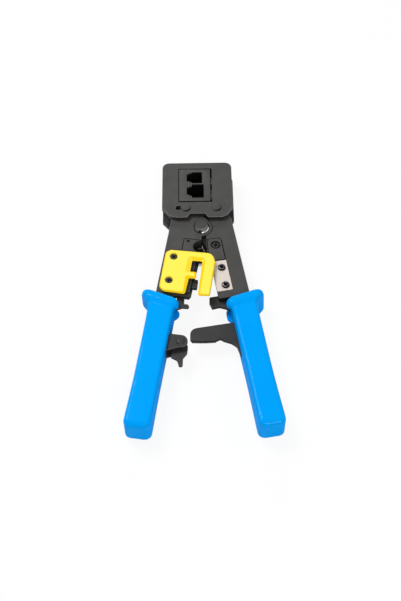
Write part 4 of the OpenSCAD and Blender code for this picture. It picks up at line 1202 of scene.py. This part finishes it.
class CRIMPER_OT_springs(bpy.types.Operator):
    """Winds the opening spring and the pawl's spring"""
    bl_idname = "crimper.springs"
    bl_label = "Springs"

    def execute(self, context):
        low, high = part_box("opening_spring")
        wire = 0.4 * MM
        turns = context.scene.crimper_sizes.spring_turns
        path = coil_path(SPRING_MIDDLE, 2.75 * MM, low.z + wire, high.z - wire, turns,
                         SPRING_LEGS[0], SPRING_LEGS[1], 9.6 * MM, 9.6 * MM)
        start = Vector((-0.002, -0.019, MID))
        bend = ("left_lever", "right_lever", start, start + 6.5 * MM * Vector((0.954, -0.3, 0)))
        place(swept_wire("opening_spring_wire", path, wire), FINISHES["spring"], "opening_spring", bend=bend)
        low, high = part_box("pawl_spring")
        wire = 0.24 * MM
        centre = rotated(np.array(PAWL_PIVOT + (0,)) * MM, -LEVER_TILT)
        path = coil_path(centre[:2], 2.1 * MM, low.z + wire, high.z - wire, 2,
                         math.radians(-99), math.radians(-150), 4.2 * MM, 2.4 * MM)
        place(swept_wire("pawl_spring_wire", path, wire), FINISHES["spring"], "pawl_spring")
        return {"FINISHED"}


# ---------------------------------------------------------------- stage

def soft_box(name, location, target, size, power, colour=(1, 1, 1)):
    """A square area lamp that faces the target."""
    light = bpy.data.lights.new(name, "AREA")
    light.shape = "RECTANGLE"
    light.size, light.size_y = size
    light.energy = power
    light.color = colour
    lamp = bpy.data.objects.new(name, light)
    bpy.context.scene.collection.objects.link(lamp)
    way = Vector(target) - Vector(location)
    turn = way.to_track_quat("-Z", "Y").to_matrix().to_4x4()
    lamp.matrix_world = Matrix.Translation(Vector(location)) @ turn


# Patches of painted shade on the floor, so that the openings above it look deep: x, y and radius in metres
PAINTED_SHADE_PATCHES = ((0, 0.038, 0.016), (-0.001, -0.012, 0.006))


class CRIMPER_OT_stage(bpy.types.Operator):
    """Sets up the pale floor with its patches of painted shade, the soft light and the camera"""
    bl_idname = "crimper.stage"
    bl_label = "Stage"

    def execute(self, context):
        s = context.scene.crimper_stage
        self.camera(context, s)
        self.floor()
        self.world()
        look = (s.look_x, s.look_y, 0)
        soft_box("key_box", (-0.35, 0.25, 0.75), look, (0.35, 0.35), 4.7 * s.lamp)
        soft_box("front_box", (0.15, -0.75, 0.65), look, (0.4, 0.3), 3.3 * s.lamp)
        soft_box("side_box", (0.75, 0.0, 0.45), look, (0.4, 0.5), 0.9 * s.lamp)
        soft_box("rim_strip", (0.0, 0.8, 0.40), look, (0.7, 0.10), 1.5 * s.lamp)
        context.scene.view_settings.view_transform = "Standard"
        return {"FINISHED"}

    def camera(self, context, s):
        camera = bpy.data.cameras.new("camera")
        camera.sensor_fit = "VERTICAL"
        camera.sensor_height = 36
        camera.lens = s.lens
        camera.clip_start = 0.01
        look = Vector((s.look_x, s.look_y, MID))
        back = Vector((0, -math.cos(s.elevation), math.sin(s.elevation)))
        right = Vector((1, 0, 0))
        up = back.cross(right)
        turned_right = right * math.cos(s.roll) + up * math.sin(s.roll)
        turned_up = up * math.cos(s.roll) - right * math.sin(s.roll)
        matrix = Matrix((turned_right, turned_up, back)).transposed().to_4x4()
        matrix.translation = look + back * s.distance
        holder = bpy.data.objects.new("camera", camera)
        holder.matrix_world = matrix
        context.scene.collection.objects.link(holder)
        context.scene.camera = holder

    def floor(self):
        mesh = bpy.data.meshes.new("floor")
        span = 3.0
        drop = -0.0002
        mesh.from_pydata([(-span, -span, drop), (span, -span, drop), (span, span, drop), (-span, span, drop)],
                         [], [(0, 1, 2, 3)])
        floor = bpy.data.objects.new("floor", mesh)
        bpy.context.scene.collection.objects.link(floor)
        material = bpy.data.materials.new("pale_floor")
        material.use_nodes = True
        tree = material.node_tree
        shader = tree.nodes["Principled BSDF"]
        shader.inputs["Roughness"].default_value = 0.9
        shader.inputs["Specular IOR Level"].default_value = 0.1
        glow = tree.nodes.new("ShaderNodeEmission")
        glow.inputs["Color"].default_value = (1, 1, 1, 1)
        glow.inputs["Strength"].default_value = 1.0
        path = tree.nodes.new("ShaderNodeLightPath")
        place_of = tree.nodes.new("ShaderNodeTexCoord")
        share = calc(tree, "MULTIPLY", path.outputs["Is Camera Ray"], 0.9)
        outside_painted_shade = 1.0
        # Inside each patch the floor's glow fades out and its colour goes to near black, as painted shade.
        for x, y, radius in PAINTED_SHADE_PATCHES:
            shift = tree.nodes.new("ShaderNodeMapping")
            shift.inputs["Location"].default_value = (-x, -y, 0)
            tree.links.new(place_of.outputs["Object"], shift.inputs["Vector"])
            reach = tree.nodes.new("ShaderNodeVectorMath")
            reach.operation = "LENGTH"
            tree.links.new(shift.outputs[0], reach.inputs[0])
            beyond = calc(tree, "SUBTRACT", reach.outputs["Value"], radius)
            clear = calc(tree, "MULTIPLY", beyond, 250.0, clamp=True)
            share = calc(tree, "MULTIPLY", share, clear)
            outside_painted_shade = calc(tree, "MULTIPLY", outside_painted_shade, clear)
        cover = blend_colours(tree, outside_painted_shade, (0.03, 0.03, 0.03, 1), (0.93, 0.93, 0.93, 1))
        tree.links.new(cover, shader.inputs["Base Color"])
        mix = tree.nodes.new("ShaderNodeMixShader")
        tree.links.new(share, mix.inputs[0])
        tree.links.new(shader.outputs[0], mix.inputs[1])
        tree.links.new(glow.outputs[0], mix.inputs[2])
        tree.links.new(mix.outputs[0], tree.nodes["Material Output"].inputs[0])
        mesh.materials.append(material)

    def world(self):
        world = bpy.data.worlds.new("studio")
        world.use_nodes = True
        tree = world.node_tree
        plain = tree.nodes["Background"]
        plain.inputs["Color"].default_value = (1, 1, 1, 1)
        plain.inputs["Strength"].default_value = 0.24
        white = tree.nodes.new("ShaderNodeBackground")
        white.inputs["Color"].default_value = (1, 1, 1, 1)
        white.inputs["Strength"].default_value = 1.0
        path = tree.nodes.new("ShaderNodeLightPath")
        seen = calc(tree, "MAXIMUM", path.outputs["Is Camera Ray"], path.outputs["Is Transmission Ray"])
        mix = tree.nodes.new("ShaderNodeMixShader")
        tree.links.new(seen, mix.inputs[0])
        tree.links.new(plain.outputs[0], mix.inputs[1])
        tree.links.new(white.outputs[0], mix.inputs[2])
        tree.links.new(mix.outputs[0], tree.nodes["World Output"].inputs[0])
        bpy.context.scene.world = world


# ---------------------------------------------------------------- panel and running

STEPS = (
    CRIMPER_OT_stage, CRIMPER_OT_finishes, CRIMPER_OT_plates, CRIMPER_OT_inner, CRIMPER_OT_pivot,
    CRIMPER_OT_pins,
    CRIMPER_OT_screws, CRIMPER_OT_blade, CRIMPER_OT_guard, CRIMPER_OT_grips, CRIMPER_OT_springs)
GROUP_CLASSES = (CrimperSizes, CrimperColours, CrimperStage)


class CRIMPER_PT_panel(bpy.types.Panel):
    """Lists the settings and the steps"""
    bl_idname = "CRIMPER_PT_panel"
    bl_label = "Crimping Tool"
    bl_space_type = "VIEW_3D"
    bl_region_type = "UI"
    bl_category = "Crimping Tool"

    def draw(self, context):
        layout = self.layout
        scene = context.scene
        for settings in (scene.crimper_sizes, scene.crimper_colours, scene.crimper_stage):
            box = layout.box()
            for key in type(settings).__annotations__:
                box.prop(settings, key)
        for step in STEPS:
            layout.operator(step.bl_idname)


def register():
    for item in GROUP_CLASSES + STEPS + (CRIMPER_PT_panel,):
        bpy.utils.register_class(item)
    bpy.types.Scene.crimper_sizes = PointerProperty(type=CrimperSizes)
    bpy.types.Scene.crimper_colours = PointerProperty(type=CrimperColours)
    bpy.types.Scene.crimper_stage = PointerProperty(type=CrimperStage)


def unregister():
    del bpy.types.Scene.crimper_stage
    del bpy.types.Scene.crimper_colours
    del bpy.types.Scene.crimper_sizes
    for item in reversed(GROUP_CLASSES + STEPS + (CRIMPER_PT_panel,)):
        bpy.utils.unregister_class(item)


def main():
    register()
    for step in STEPS:
        group, name = step.bl_idname.split(".")
        getattr(getattr(bpy.ops, group), name)()


if __name__ == "__main__":
    main()
